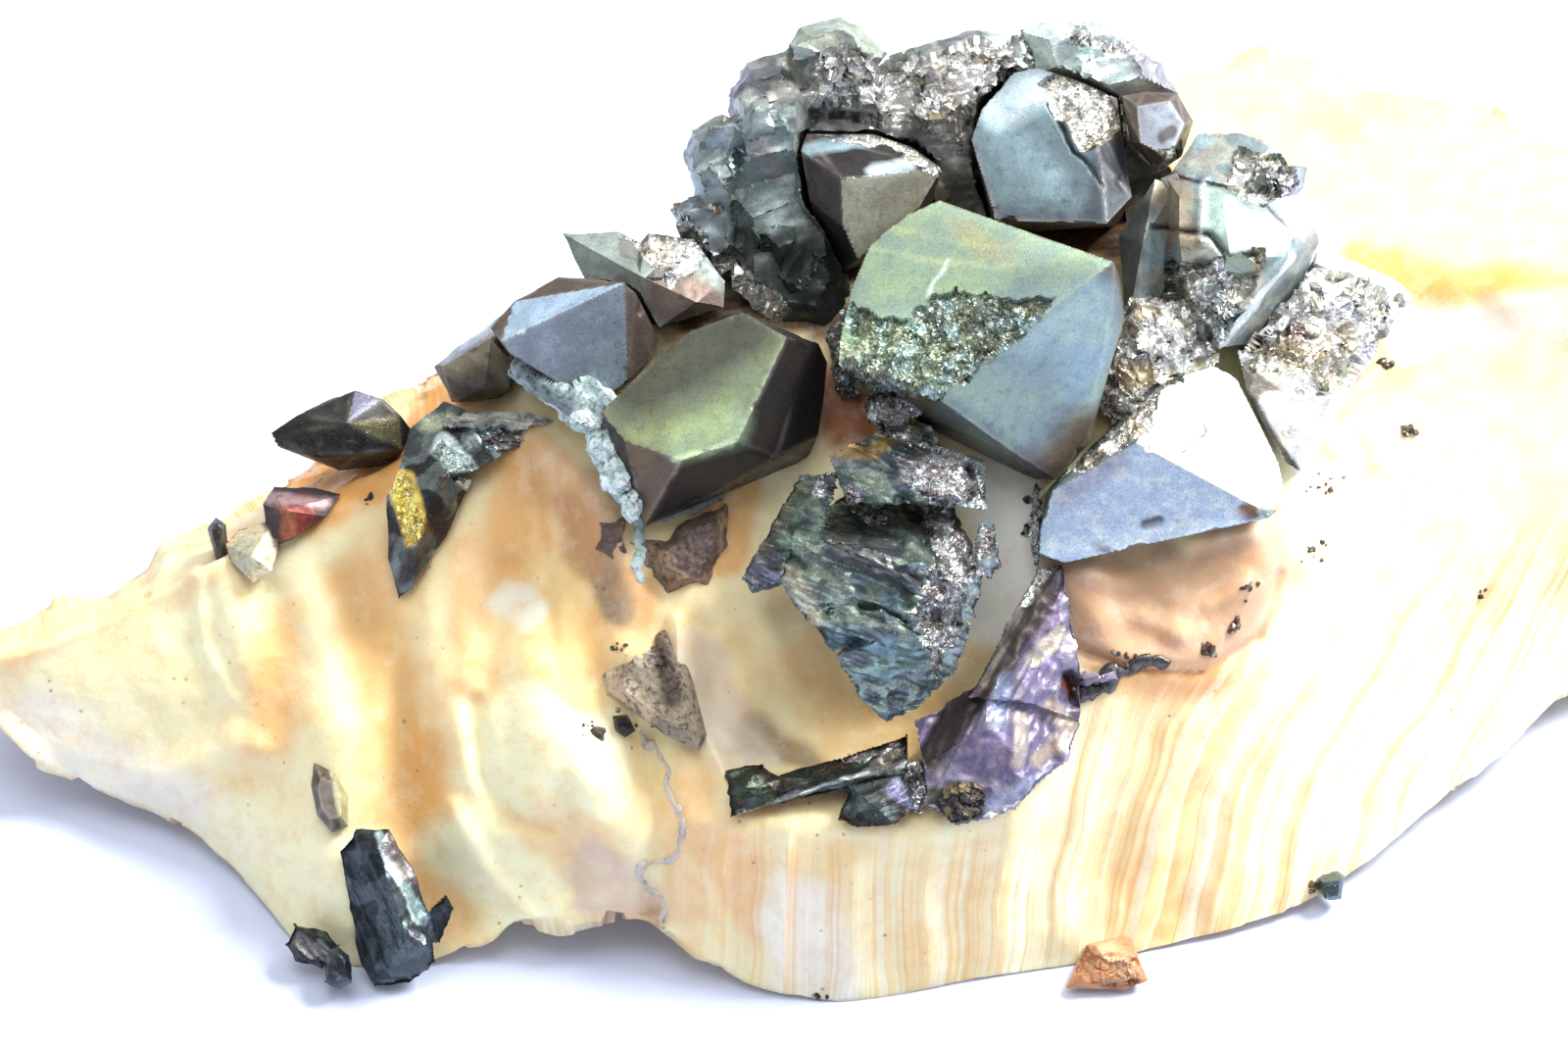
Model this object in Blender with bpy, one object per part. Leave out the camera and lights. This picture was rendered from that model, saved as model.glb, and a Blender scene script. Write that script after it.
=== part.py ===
"""Pyrite crystals grown on a block of banded calcite, a specimen about 118 mm long.

Lengths are in millimetres until a mesh is made, and +Z is up. The long side runs along X.
The specimen is seen from the front and above, so the shapes that show from there are given
by `seen(u, v, w)`: u to the right and v upwards on the plane through VIEW_CENTRE that faces
the eye, w towards the eye. Corners that share u and v lie on one line of sight.
"""

import math
import random

import bmesh
import bpy
import numpy as np
from mathutils import Vector, noise

MM = 0.001

# The line of sight
VIEW_CENTRE = np.array([-3.88, -8.2, 22.0])
VIEW_HEIGHT = math.radians(42)
EYE_DISTANCE = 420.0
RIGHT = np.array([1.0, 0.0, 0.0])
UPWARD = np.array([0.0, math.sin(VIEW_HEIGHT), math.cos(VIEW_HEIGHT)])
TOWARD = np.array([0.0, -math.cos(VIEW_HEIGHT), math.sin(VIEW_HEIGHT)])

# Driving sizes
LEFT_END, RIGHT_END = -55.0, 62.0  # the calcite's ends along X, from VIEW_CENTRE
LEFT_BULGE, RIGHT_BULGE = 0.4, 1.2  # how far the middle of each broken end stands out
STATIONS = 58                      # cross sections of the calcite along X
CONTACT_GAP = 0.3                  # clearance between neighbours that touch
SLIVER = 0.02                      # corners closer than this become one

# Unevenness of the calcite's skin: its height at the front, what the back adds, the height over
# which it fades in above the ground, and the waves per mm of its coarse and fine part.
FRONT_RELIEF, BACK_RELIEF = 0.35, 0.9
GROUND_FADE = 2.5
COARSE_WAVES, FINE_WAVES = 0.16, 0.41

# Lines that run along the calcite from left to right, as (x, y, z) from the foot of
# VIEW_CENTRE: a cross section at any x passes through all of them in turn.
BASE_BACK = [(-55, 1.5, 8), (-49, 6, 2.5), (-43, 10, 0.6), (-36, 15, 0), (-30, 19, 0), (-17, 26, 0),
             (-3, 31, 0), (12, 34, 0), (33, 36, 0), (47, 31, 0), (54, 28, 0), (62, 23, 2.5)]
BASE_FRONT = [(-55, -0.4, 8), (-49, -2, 2.5), (-43, -4, 0.6), (-36, -10, 0), (-30, -17, 0),
              (-24, -18, 0), (-17, -11, 0), (-10, -10, 0), (-3, -18.5, 0), (4, -21, 0),
              (19, -18, 0), (26, -15.5, 0), (33, -12, 0), (40, -6, 0), (47, 1, 0), (54, 7, 0),
              (62, 12, 2.5)]
FOOT = [(-55, -0.8, 8.2), (-51, -4.2, 5.5), (-48, -5, 3.4), (-43, -6.6, 2.2), (-39.5, -8.8, 1.8),
        (-36, -12.6, 0.8), (-32.5, -17.5, 0.2),
        (-24, -19.6, 0.2), (-17, -18.8, 3), (-10, -19.2, 4), (-3, -21.8, 1), (2, -22.8, 0.2),
        (13, -20.8, 0.2), (24, -18.3, 0.3), (33, -15.6, 1), (40, -11.2, 1.5), (47, -4.2, 2),
        (54, 2.8, 3), (62, 8.5, 5)]
BROW = [(-55, -1, 8.8), (-49, -4.2, 5.5), (-43, -6.2, 5), (-36, -11, 5), (-30, -16.5, 6),
        (-24, -17, 8), (-17, -16.5, 9.5), (-10, -17.5, 10.5), (-5, -18.6, 12.4), (4, -19.7, 13),
        (12, -19.5, 13.6), (15.5, -18.2, 14.3), (19, -13.6, 16.6), (26, -10, 18.4),
        (33, -7, 17), (40, -4, 12.5), (47, 1, 13), (54, 5.5, 14), (62, 9.5, 15)]
HOLLOW = [(-55, -0.9, 9.1), (-49, -2.5, 9), (-43, -3.5, 10), (-36, -5, 11.5), (-30, -7.5, 14),
          (-24, -8.5, 16), (-17, -9, 17.5), (-10, -10, 18.2), (-5, -12, 16.4), (0, -12.4, 15),
          (4, -12, 15), (12, -11, 16), (19, -9.5, 20), (26, -7, 22), (33, -3, 24),
          (40, 2, 22), (47, 6, 23.5), (54, 8.5, 24), (62, 11, 24)]
CREST = [(-55, -0.6, 9.4), (-49, -1, 12), (-43, 0.4, 14.4), (-36, 2.3, 18), (-30, 5, 20.4),
         (-24, 6, 23.5), (-17, 4, 26), (-10, 1, 26.5), (-3, -1.5, 26), (4, -2.2, 26.3),
         (12, -2.6, 26.5), (19, -3.2, 27), (26, -2, 28), (33, 2, 28.5), (40, 6.4, 29.4),
         (44, 9, 32), (47, 10, 32.9), (54, 10.8, 33), (62, 13, 32.4)]
SHOULDER = [(-55, 0.4, 9.3), (-49, 1, 11.8), (-43, 2.6, 14), (-36, 5.5, 17.3), (-30, 8, 19.6),
            (-24, 9.5, 22.8), (-20, 9, 26), (-16, 8, 29.6), (-10, 8, 32), (-3, 8, 33.2), (4, 8, 34),
            (19, 8, 34), (26, 9, 33.4), (33, 12, 32.4), (40, 15, 32.2), (47, 18, 33), (54, 17, 33.2),
            (62, 18, 32.4)]
TOP_BACK = [(-55, 1.5, 9.2), (-49, 3, 11), (-43, 5, 13), (-36, 9, 16), (-30, 12, 18.5),
            (-24, 15, 21), (-17, 18, 24), (-10, 21, 27), (-3, 24, 29), (4, 26, 30.5),
            (12, 29, 31.5), (19, 32, 32.5), (26, 34.5, 33.4), (33, 36, 34), (40, 33.5, 34),
            (47, 30.5, 33.4), (54, 26.6, 33), (62, 23.5, 32.2)]
BACK_WALL = [(-55, 2.5, 8.6), (-49, 7, 6), (-43, 11, 7), (-36, 16, 8), (-30, 20, 10),
             (-17, 27, 13), (-3, 32.5, 16), (12, 36, 18), (26, 39, 19.5), (33, 39.5, 19),
             (40, 37.5, 20), (47, 34.5, 20), (54, 31, 20), (62, 27, 20)]
# Each line with the number of steps from it to the next one round the section.
SECTION = [(BASE_BACK, 3), (BASE_FRONT, 1), (FOOT, 6), (BROW, 5), (HOLLOW, 5), (CREST, 2),
           (SHOULDER, 4), (TOP_BACK, 2), (BACK_WALL, 2)]

# Swells and furrows that show on the front of the calcite: a line of (u, v) points, the
# distance over which the form fades out, and its height towards the eye.
FORMS = [
    ([(-37, -3.7), (-35, -11), (-35, -14.6)], 1.6, 0.9),
    ([(-35, -14.6), (-45.6, -18.1)], 1.4, 0.6),
    ([(-34, -5), (-32.6, -9), (-35, -13)], 1.5, -0.9),
    ([(-29, -4), (-25.5, -13), (-25, -20), (-22, -25)], 2.2, -1.6),
    ([(-30, -14), (-31, -21), (-28, -27)], 2.6, 1.0),
    ([(-22, 1), (-21.5, -8), (-20.5, -16)], 2.0, 0.8),
    ([(-18.5, -3), (-19.5, -10)], 1.2, -0.7),
    ([(-16.5, -10), (-15.5, -17)], 3.0, 2.0),
    ([(-12.6, -15), (-12.4, -19)], 2.2, 1.2),
    ([(-14.6, -18), (-14.4, -24)], 1.0, -0.9),
    ([(-16.5, 5), (-13, 2), (-10.6, -3), (-10.6, -8)], 1.8, 1.4),
    ([(-17.5, 1), (-17.8, -4)], 1.2, -0.8),
    ([(-9.2, -14), (-8.3, -21), (-8.6, -26)], 1.0, -1.3),
    ([(-3, -9), (2, -13), (7, -16)], 2.6, -1.0),
    ([(-5, -6), (-2, -15)], 1.6, 0.8),
    ([(18.6, -4), (22, -9), (28, -9), (32, -3)], 1.5, 0.9),
    ([(20, -1), (21.5, -6)], 1.4, 0.9),
    ([(25.5, -3), (26.5, -7)], 1.5, 0.9),
    ([(31, 0), (36, 7), (41, 12)], 1.6, 0.8),
    ([(40, 13), (46, 14)], 1.6, -1.2),
]
# Pleats down the front wall: pitch along the wall, depth, and lean of one pleat per mm up.
PLEAT_PITCH, PLEAT_DEPTH, PLEAT_LEAN = 4.6, 0.45, 0.22
# The pleats fade in over PLEAT_FADE mm of u from PLEAT_LEFT on. They reach up to PLEAT_TOP mm
# above the ground, and right of PLEAT_TALL up to the crest.
PLEAT_LEFT, PLEAT_FADE = -8.0, 6.0
PLEAT_TOP, PLEAT_TOP_FADE, PLEAT_TALL = 14.0, 5.0, 18.0


def seen(u, v, w):
    """The point on the line of sight through (u, v), w mm in front of VIEW_CENTRE."""
    shrink = (EYE_DISTANCE - w) / EYE_DISTANCE
    return VIEW_CENTRE + (RIGHT * u + UPWARD * v) * shrink + TOWARD * w


def spot(x, y, z):
    """A point given in the same way as the calcite's lines."""
    return np.array([VIEW_CENTRE[0] + x, VIEW_CENTRE[1] + y, z])


def as_seen(points):
    """The (u, v) of many points at once, as an array of two columns."""
    offset = points - VIEW_CENTRE
    scale = EYE_DISTANCE / (EYE_DISTANCE - offset @ TOWARD)
    return np.column_stack([offset @ RIGHT * scale, offset @ UPWARD * scale])


def on_face(corners, u, v):
    """Where the line of sight through (u, v) meets the plane of three corners."""
    a, b, c = corners
    normal = np.cross(b - a, c - a)
    eye = VIEW_CENTRE + TOWARD * EYE_DISTANCE
    ray = seen(u, v, 0) - eye
    return eye + ray * ((a - eye) @ normal) / (ray @ normal)


def material(name, colour, metallic, roughness):
    made = bpy.data.materials.new(name)
    made.use_nodes = True
    shader = made.node_tree.nodes["Principled BSDF"]
    shader.inputs["Base Color"].default_value = (*colour, 1)
    shader.inputs["Metallic"].default_value = metallic
    shader.inputs["Roughness"].default_value = roughness
    made.diffuse_color = (*colour, 1)
    return made


def clear_scene():
    for old in list(bpy.data.objects):
        bpy.data.objects.remove(old)


def hull_mesh(points):
    """A convex block round the points, as a bmesh with its flat faces whole."""
    block = bmesh.new()
    for point in points:
        block.verts.new(Vector(point) * MM)
    made = bmesh.ops.convex_hull(block, input=block.verts)
    spare = {v for v in made["geom_interior"] + made["geom_unused"] if isinstance(v, bmesh.types.BMVert)}
    bmesh.ops.delete(block, geom=list(spare), context="VERTS")
    bmesh.ops.dissolve_limit(block, angle_limit=math.radians(0.5), verts=block.verts, edges=block.edges)
    return block


def add_object(name, block, finish, collection):
    mesh = bpy.data.meshes.new(name)
    block.to_mesh(mesh)
    block.free()
    obj = bpy.data.objects.new(name, mesh)
    if finish is not None:
        mesh.materials.append(finish)
    collection.objects.link(obj)
    return obj


def combine(obj, block, operation):
    """Joins a block to the object, or cuts it away, and keeps the result as its mesh."""
    tool = add_object("tool", block, None, bpy.context.scene.collection)
    step = obj.modifiers.new(operation.lower(), "BOOLEAN")
    step.operation, step.object, step.solver = operation, tool, "EXACT"
    graph = bpy.context.evaluated_depsgraph_get()
    result = bpy.data.meshes.new_from_object(obj.evaluated_get(graph))
    obj.modifiers.clear()
    old, obj.data = obj.data, result
    bpy.data.meshes.remove(old)
    bpy.data.objects.remove(tool)


def grown_mesh(points, gap=CONTACT_GAP):
    """The block round the points with every face moved out by the gap, cut from a box."""
    hull = hull_mesh(points)
    planes = [(face.calc_center_median() + face.normal * gap * MM, face.normal.copy()) for face in hull.faces]
    hull.free()
    low, high = np.min(points, axis=0) - gap, np.max(points, axis=0) + gap
    block = bmesh.new()
    bmesh.ops.create_cube(block, size=MM)
    bmesh.ops.scale(block, verts=block.verts, vec=Vector(high - low))
    bmesh.ops.translate(block, verts=block.verts, vec=Vector((low + high) / 2) * MM)
    for middle, normal in planes:
        whole = [*block.verts, *block.edges, *block.faces]
        cut = bmesh.ops.bisect_plane(block, geom=whole, plane_co=middle, plane_no=normal, clear_outer=True)
        rim = [item for item in cut["geom_cut"] if isinstance(item, bmesh.types.BMEdge)]
        bmesh.ops.edgeloop_fill(block, edges=rim)
    bmesh.ops.recalc_face_normals(block, faces=block.faces)
    return block


def bodies_of(block):
    """The faces of each closed body, the body with the most surface last."""
    left, bodies = set(block.faces), []
    while left:
        body, edge = set(), [left.pop()]
        while edge:
            face = edge.pop()
            body.add(face)
            paired = [side for side in face.edges if len(side.link_faces) == 2]
            near = {other for side in paired for other in side.link_faces} & left
            left -= near
            edge.extend(near)
        bodies.append(body)
    return sorted(bodies, key=lambda body: sum(face.calc_area() for face in body))


def keep_largest(obj):
    """Drops the crumbs that a cut leaves, so that one body stays, and merges slivers."""
    block = bmesh.new()
    block.from_mesh(obj.data)
    for merge in (0.0, SLIVER):
        bmesh.ops.remove_doubles(block, verts=block.verts, dist=merge * MM)
        bmesh.ops.triangulate(block, faces=block.faces)
        crumbs = [face for body in bodies_of(block)[:-1] for face in body]
        bmesh.ops.delete(block, geom=crumbs, context="FACES")
    block.to_mesh(obj.data)
    block.free()


def along(line, x):
    """A smooth curve through the line's points, read at each x: y and z."""
    line = np.array(line, float)
    at = np.clip(np.searchsorted(line[:, 0], x, side="right") - 1, 0, len(line) - 2)
    slopes = np.gradient(line[:, 1:], line[:, 0], axis=0)
    span = line[at + 1, 0] - line[at, 0]
    t = ((x - line[at, 0]) / span)[:, None]
    span = span[:, None]
    return (
        line[at, 1:] * (1 + 2 * t) * (1 - t) ** 2
        + slopes[at] * span * t * (1 - t) ** 2
        + line[at + 1, 1:] * t ** 2 * (3 - 2 * t)
        - slopes[at + 1] * span * t ** 2 * (1 - t)
    )


def distance_to(line, points):
    """How far each (u, v) point is from a line of straight pieces."""
    best = np.full(len(points), np.inf)
    for a, b in zip(np.array(line[:-1], float), np.array(line[1:], float)):
        t = np.clip((points - a) @ (b - a) / ((b - a) @ (b - a)), 0, 1)
        best = np.minimum(best, np.linalg.norm(points - a - t[:, None] * (b - a), axis=1))
    return best


def calcite_grid():
    """The calcite's skin: STATIONS rows, each a closed section, before its relief."""
    x = np.linspace(LEFT_END, RIGHT_END, STATIONS)
    rows = []
    for (line, steps), (following, _) in zip(SECTION, SECTION[1:] + SECTION[:1]):
        here, there = along(line, x), along(following, x)
        rows += [here + (there - here) * step / steps for step in range(steps)]
    section = np.array(rows).transpose(1, 0, 2)
    across = np.repeat(x[:, None, None], section.shape[1], axis=1)
    grid = np.concatenate([across, section], axis=2)
    grid[..., 2] = np.maximum(grid[..., 2], 0)
    return grid + np.array([VIEW_CENTRE[0], VIEW_CENTRE[1], 0.0])


def outward(grid):
    """The unit normal of the skin at each of its points."""
    round_it = np.roll(grid, -1, axis=1) - np.roll(grid, 1, axis=1)
    normal = np.cross(round_it, np.gradient(grid, axis=0))
    return normal / (np.linalg.norm(normal, axis=2, keepdims=True) + 1e-9)


def swells(uv):
    """The height of the swells and furrows at each (u, v)."""
    rise = np.zeros(len(uv))
    for line, fade, height in FORMS:
        rise += height * np.exp(-((distance_to(line, uv) / fade) ** 2))
    return rise


def pleats(uv, height, normal):
    """The height of the pleats at each (u, v), where the front wall stands upright."""
    phase = (uv[:, 0] - PLEAT_LEAN * uv[:, 1]) / PLEAT_PITCH
    wall = np.clip((uv[:, 0] - PLEAT_LEFT) / PLEAT_FADE, 0, 1)
    wall *= np.clip((PLEAT_TOP - height) / PLEAT_TOP_FADE + (uv[:, 0] > PLEAT_TALL), 0, 1)
    wall *= np.clip(normal[:, 1] * -2.5, 0, 1)
    return PLEAT_DEPTH * wall * (1 - 2 * np.abs(np.sin(math.pi * phase)))


def unevenness(points):
    """Smooth noise in two sizes."""
    return np.array([
        noise.noise(Vector(p) * COARSE_WAVES) + 0.5 * noise.noise(Vector(p) * FINE_WAVES) for p in points])


def calcite_relief(grid):
    """Swells, furrows and pleats towards the eye on the front, and broken unevenness elsewhere."""
    normal = outward(grid).reshape(-1, 3)
    points = grid.reshape(-1, 3)
    uv = as_seen(points)
    rise = swells(uv) + pleats(uv, points[:, 2], normal)
    facing = np.clip(normal @ TOWARD * 1.6, 0, 1)
    lifted = np.clip(points[:, 2] / GROUND_FADE, 0, 1)
    points = points + TOWARD * (rise * facing * lifted)[:, None]
    rough = unevenness(points) * (FRONT_RELIEF + BACK_RELIEF * (1 - facing))
    points = points + normal * (rough * lifted)[:, None]
    points[:, 2] = np.maximum(points[:, 2], 0)
    return points.reshape(grid.shape)


def calcite_mesh():
    """The skin with its two broken ends closed, each by a low facet fan."""
    grid = calcite_relief(calcite_grid())
    rows, count = grid.shape[:2]
    block = bmesh.new()
    verts = [[block.verts.new(Vector(p) * MM) for p in row] for row in grid]
    for i in range(rows - 1):
        for j in range(count):
            k = (j + 1) % count
            block.faces.new((verts[i][j], verts[i + 1][j], verts[i + 1][k], verts[i][k]))
    for row, bulge in ((0, -LEFT_BULGE), (rows - 1, RIGHT_BULGE)):
        middle = grid[row].mean(axis=0) + RIGHT * bulge
        tip = block.verts.new(Vector(middle) * MM)
        for j in range(count):
            block.faces.new((verts[row][j], verts[row][(j + 1) % count], tip))
    bmesh.ops.recalc_face_normals(block, faces=block.faces)
    bmesh.ops.triangulate(block, faces=block.faces)
    return block


def boulder(outline, w, front, back, foot=(), lean=(0.0, 0.0)):
    """A rounded angular block: its outline at depth w, and smaller rings before and behind.

    The depth grows by `lean` per mm to the right and upwards; `foot` adds corners below.
    """
    middle = np.mean(np.array(outline, float), axis=0)

    def ring(scale, depth):
        offsets = (np.array(outline, float) - middle) * scale
        return [seen(*(middle + step), depth + step @ np.array(lean)) for step in offsets]

    return ring(1, w) + ring(0.62, w + front) + ring(0.8, w - back) + [spot(*p) for p in foot]


def chunk(centre, radius, draw, corners=9):
    """A broken angular lump: the hull of a few points drawn on a ball."""
    points = []
    for _ in range(corners):
        way = Vector((draw.gauss(0, 1), draw.gauss(0, 1), draw.gauss(0, 1))).normalized()
        points.append(centre + np.array(way) * radius * draw.uniform(0.8, 1.15))
    return points


def chunks(seed, count, patch, radius, corners=9):
    """Broken lumps scattered over a patch of (u, v, w) corners, by weights drawn at random."""
    draw = random.Random(seed)
    patch = np.array(patch, float)
    made = []
    for _ in range(count):
        weights = np.array([draw.expovariate(1) for _ in patch])
        centre = seen(*(weights @ patch / weights.sum()))
        made.append(chunk(centre, radius * draw.uniform(0.7, 1.3), draw, corners))
    return made


def centre_crystal():
    """The largest crystal: an octahedral corner with a top, a front and a narrow right face."""
    peak, left, low = seen(21.9, 17.3, 15), seen(10.1, 8.3, 15), seen(18.1, 2.8, 8.6)
    top = (peak, left, seen(5.7, 18.5, 7.3))
    front = (peak, left, low)
    crown = [on_face(top, *p) for p in ((10.3, 21.4), (8.1, 20.4), (4.4, 15.4), (3.7, 12.2), (3.6, 10.5))]
    rim = [on_face(front, *p) for p in ((21.0, 10.0), (20.3, 5.5), (18.4, 4.1))]
    right = [seen(22.3, 16.2, 13.5), seen(22.6, 13.5, 11.5)]
    under = [seen(4.9, 8.6, 7), seen(10.1, 6.6, 9), seen(16.6, 2.9, 5.5)]
    hidden = [seen(7, 9, -2), seen(20, 5, 0), seen(21, 16, 2), seen(9, 18, -2), seen(14, 4, 0)]
    return [[peak, left, low, top[2], *crown, *rim, *right, *under, *hidden]]


def back_crystal():
    """A steel-grey crystal leaning back behind the largest one, and the small one at its right."""
    face = (seen(14.0, 20.0, 4.6), seen(21.4, 19.8, 5.2), seen(16.8, 30.2, 1.0))
    outline = ((15.1, 29.8), (13.1, 27.4), (12.4, 25.4), (19.6, 29.3), (21.0, 24.0))
    front = [*face, *[on_face(face, *p) for p in outline]]
    side = [seen(22.0, 28.2, -0.4), seen(22.6, 24.4, 1.6), seen(23.1, 21.6, 3.2)]
    hidden = [seen(14, 19, -8), seen(22, 19.5, -8), seen(21, 26, -12), seen(14, 27, -12)]
    return [[*front, *side, *hidden]]


def small_back_crystal():
    outline = [(22.4, 28.3), (24.0, 28.6), (26.1, 28.5), (27.2, 26.6), (26.4, 24.2), (24.8, 23.2), (22.9, 25.2)]
    face = (seen(23.4, 27.6, 3.0), seen(25.8, 27.8, 2.6), seen(25.2, 24.2, 4.4))
    front = [on_face(face, *p) for p in ((23.4, 27.6), (25.6, 28.0), (26.6, 26.4), (25.6, 24.1), (23.6, 25.2))]
    return [[*front, *[seen(*p, 1.0) for p in outline], seen(24, 25, -9), seen(26, 25, -9)]]


def shelf_crystal():
    """A crystal with a bright ledge on top, a brown front and a dark left side."""
    front = (seen(3.8, 22.8, 7), seen(10.5, 23.5, 5.2), seen(4.9, 17.4, 4.8))
    face = [on_face(front, *p) for p in ((9.0, 20.9), (6.1, 19.0), (3.9, 19.6))]
    top = [seen(1.5, 25.8, 2.2), seen(5.9, 25.8, 1.6), seen(8.5, 24.9, 2.0), seen(1.1, 24.7, 3.4)]
    hidden = [seen(1.7, 21.3, 3), seen(3, 16, -5), seen(9, 18, -6), seen(9, 24, -7), seen(2, 24, -7)]
    return [[*front, *face, *top, *hidden]]


def green_crystal():
    """The olive crystal left of the centre, with a dark right face and an undercut front."""
    crown, corner, chin = seen(0.2, 12.3, 9.5), seen(-3.1, 5.3, 11), seen(-6.8, 4.1, 10.6)
    top = (crown, corner, chin)
    right = (crown, corner, seen(2.3, 5.8, 6))
    under = (corner, chin, seen(-9.3, -0.3, 5))
    upper = [on_face(top, *p) for p in ((-2.8, 14.0), (-6.2, 12.7), (-8.7, 10.7), (-12.2, 7.3), (-10.6, 5.4))]
    side = [on_face(right, *p) for p in ((2.3, 11.9), (2.9, 10.6), (2.7, 8.5))]
    lower = [on_face(under, *p) for p in ((-0.5, 4.3), (-4.7, 1.8))]
    hidden = [seen(-9.6, 2, 4), seen(1.6, 4.2, 4), seen(1, 10, -4), seen(-11, 6, -2), seen(-5, 12, -4),
              seen(-8, 1, -1), seen(1, 4, -3)]
    return [[*top, *right[2:], *under[2:], *upper, *side, *lower, *hidden]]


def grey_crystal():
    """The grey-purple crystal at the left shoulder, a roof with its ridge across."""
    ridge, end, low = seen(-18.8, 12.0, 7.4), seen(-10.6, 15.9, 7.4), seen(-12.6, 7.8, 4.8)
    face = (ridge, end, low)
    front = [on_face(face, *p) for p in ((-18.2, 11.2), (-14.9, 9.5), (-10.3, 9.4))]
    roof = [seen(-19.5, 12.9, 5.6), seen(-17.9, 14.7, 4.6), seen(-15.0, 16.3, 4.2), seen(-12.6, 16.2, 5.2)]
    side = [seen(-9.8, 15.2, 6.6), seen(-8.3, 12.2, 4), seen(-8.7, 11.0, 4)]
    hidden = [seen(-18, 11, -4), seen(-10, 9, -4), seen(-10, 14, -5), seen(-16, 14, -5)]
    return [[*face, *front, *roof, *side, *hidden]]


def left_back_crystal():
    ridge = [seen(-22.6, 10.4, 1.2), seen(-19.4, 12.3, 1.6), seen(-19.8, 9.2, 1.4)]
    edge = [seen(-23.3, 10.4, -1), seen(-19.7, 12.8, -0.6), seen(-18.3, 14.1, -0.6), seen(-17.4, 13.2, 0)]
    low = [seen(-18.2, 9.0, 0), seen(-19.2, 8.4, -0.4), seen(-21.4, 8.0, -1), seen(-22.1, 8.3, -1.2)]
    return [[*ridge, *edge, *low, seen(-22, 8, -7), seen(-18, 8, -7), seen(-18, 12, -8)]]


def spiked_crystal():
    """A crystal with a sharp left spike and a broken top."""
    spike = [seen(-14.7, 19.2, 2), seen(-13.4, 16.4, 2.6), seen(-11.0, 19.3, 1.6), seen(-11.7, 13.8, 3.4)]
    body = [seen(-9.0, 19.3, 2.6), seen(-9.6, 16.4, 5.2), seen(-6.0, 18.8, 3), seen(-5.3, 17.4, 4),
            seen(-3.9, 16.0, 4.4), seen(-4.0, 14.3, 4.6), seen(-5.8, 14.6, 5.6), seen(-8.3, 12.9, 4.4)]
    hidden = [seen(-12, 15, -4), seen(-5, 14, -4), seen(-6, 17, -6), seen(-10, 17, -6)]
    first = [*spike, body[1], body[7], hidden[0], hidden[3], seen(-9.2, 18.4, 1.2)]
    return [[*body, *hidden, spike[3]], first]


def ridge_crystal():
    """The dark crystal that sits on the crest of the left wing."""
    top = [seen(-28.4, 8.8, -4.2), seen(-26.6, 8.2, -3.8), seen(-25.4, 7.1, -3.6), seen(-32.2, 7.2, -4.4)]
    edge = [seen(-34.1, 5.9, -5.2), seen(-30.2, 8.2, -5.0), seen(-24.5, 5.9, -4.2), seen(-29, 6.6, -2.8)]
    low = [seen(-33.6, 5.0, -5.0), seen(-31.5, 4.4, -4.0), seen(-28.3, 4.5, -3.4), seen(-25.3, 4.9, -3.6)]
    below = [seen(-29.5, 3.4, -6.4), seen(-25.8, 3.8, -6.4), seen(-27, 6.4, -9), seen(-31, 5, -8)]
    return [[*top, *edge, *low, *below]]


def gold_crystal():
    """A shiny crystal that runs down the slope to a point, with a knobbly head."""
    head = [seen(-25.4, 4.0, 0.4), seen(-24.8, 6.2, -0.4), seen(-22.6, 8.1, -1.0), seen(-20.2, 7.2, 0),
            seen(-18.4, 6.0, 0.8), seen(-18.8, 4.4, 0.8), seen(-20.9, 3.2, 1.4), seen(-22.6, 3.0, 2.4)]
    blade = [seen(-26.4, 1.8, -0.6), seen(-25.3, 4.2, 0.6), seen(-22.8, 3.2, 2.2), seen(-20.7, 2.8, 0.4),
             seen(-22.3, -0.8, 0.8), seen(-24.6, -4.4, 0.8), seen(-25.6, -5.1, 0.4), seen(-26.3, -2.4, -0.2),
             seen(-24.3, -1.0, 2.6)]
    under = [seen(-25, 2.6, -5), seen(-19.6, 4, -4), seen(-22, 5, -7)]
    tail = [seen(-25.4, -4, -2.0), seen(-25.6, 1, -3.4), seen(-22.4, 0, -3)]
    return [[*head, *under], [*blade, *tail, under[0]]]


def red_crystal():
    """A dark red crystal on the crest with a rough tan lump before it."""
    red = [seen(-34.6, 1.2, -4.6), seen(-33.8, 2.4, -5.4), seen(-31.2, 2.4, -5.0), seen(-29.4, 1.9, -4.8),
           seen(-30.3, 0.4, -3.8), seen(-32.5, -1.0, -3.2), seen(-34.2, -1.6, -3.4), seen(-33.2, 0.8, -2.8)]
    tan = [seen(-37.1, -1.4, -4.2), seen(-36.2, -0.4, -4.6), seen(-34.8, -0.2, -4.2), seen(-33.5, -1.6, -3.0),
           seen(-34.0, -3.2, -2.4), seen(-35.2, -4.0, -2.4), seen(-36.8, -2.6, -3.4), seen(-35.4, -2.2, -2.2)]
    below = [seen(-33.4, -1.6, -7), seen(-30.6, 0.4, -7), seen(-35.4, -3, -6)]
    return [[*red, *below[:2]], [*tan, *below[::2], seen(-33.8, 0.2, -4)]]


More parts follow.
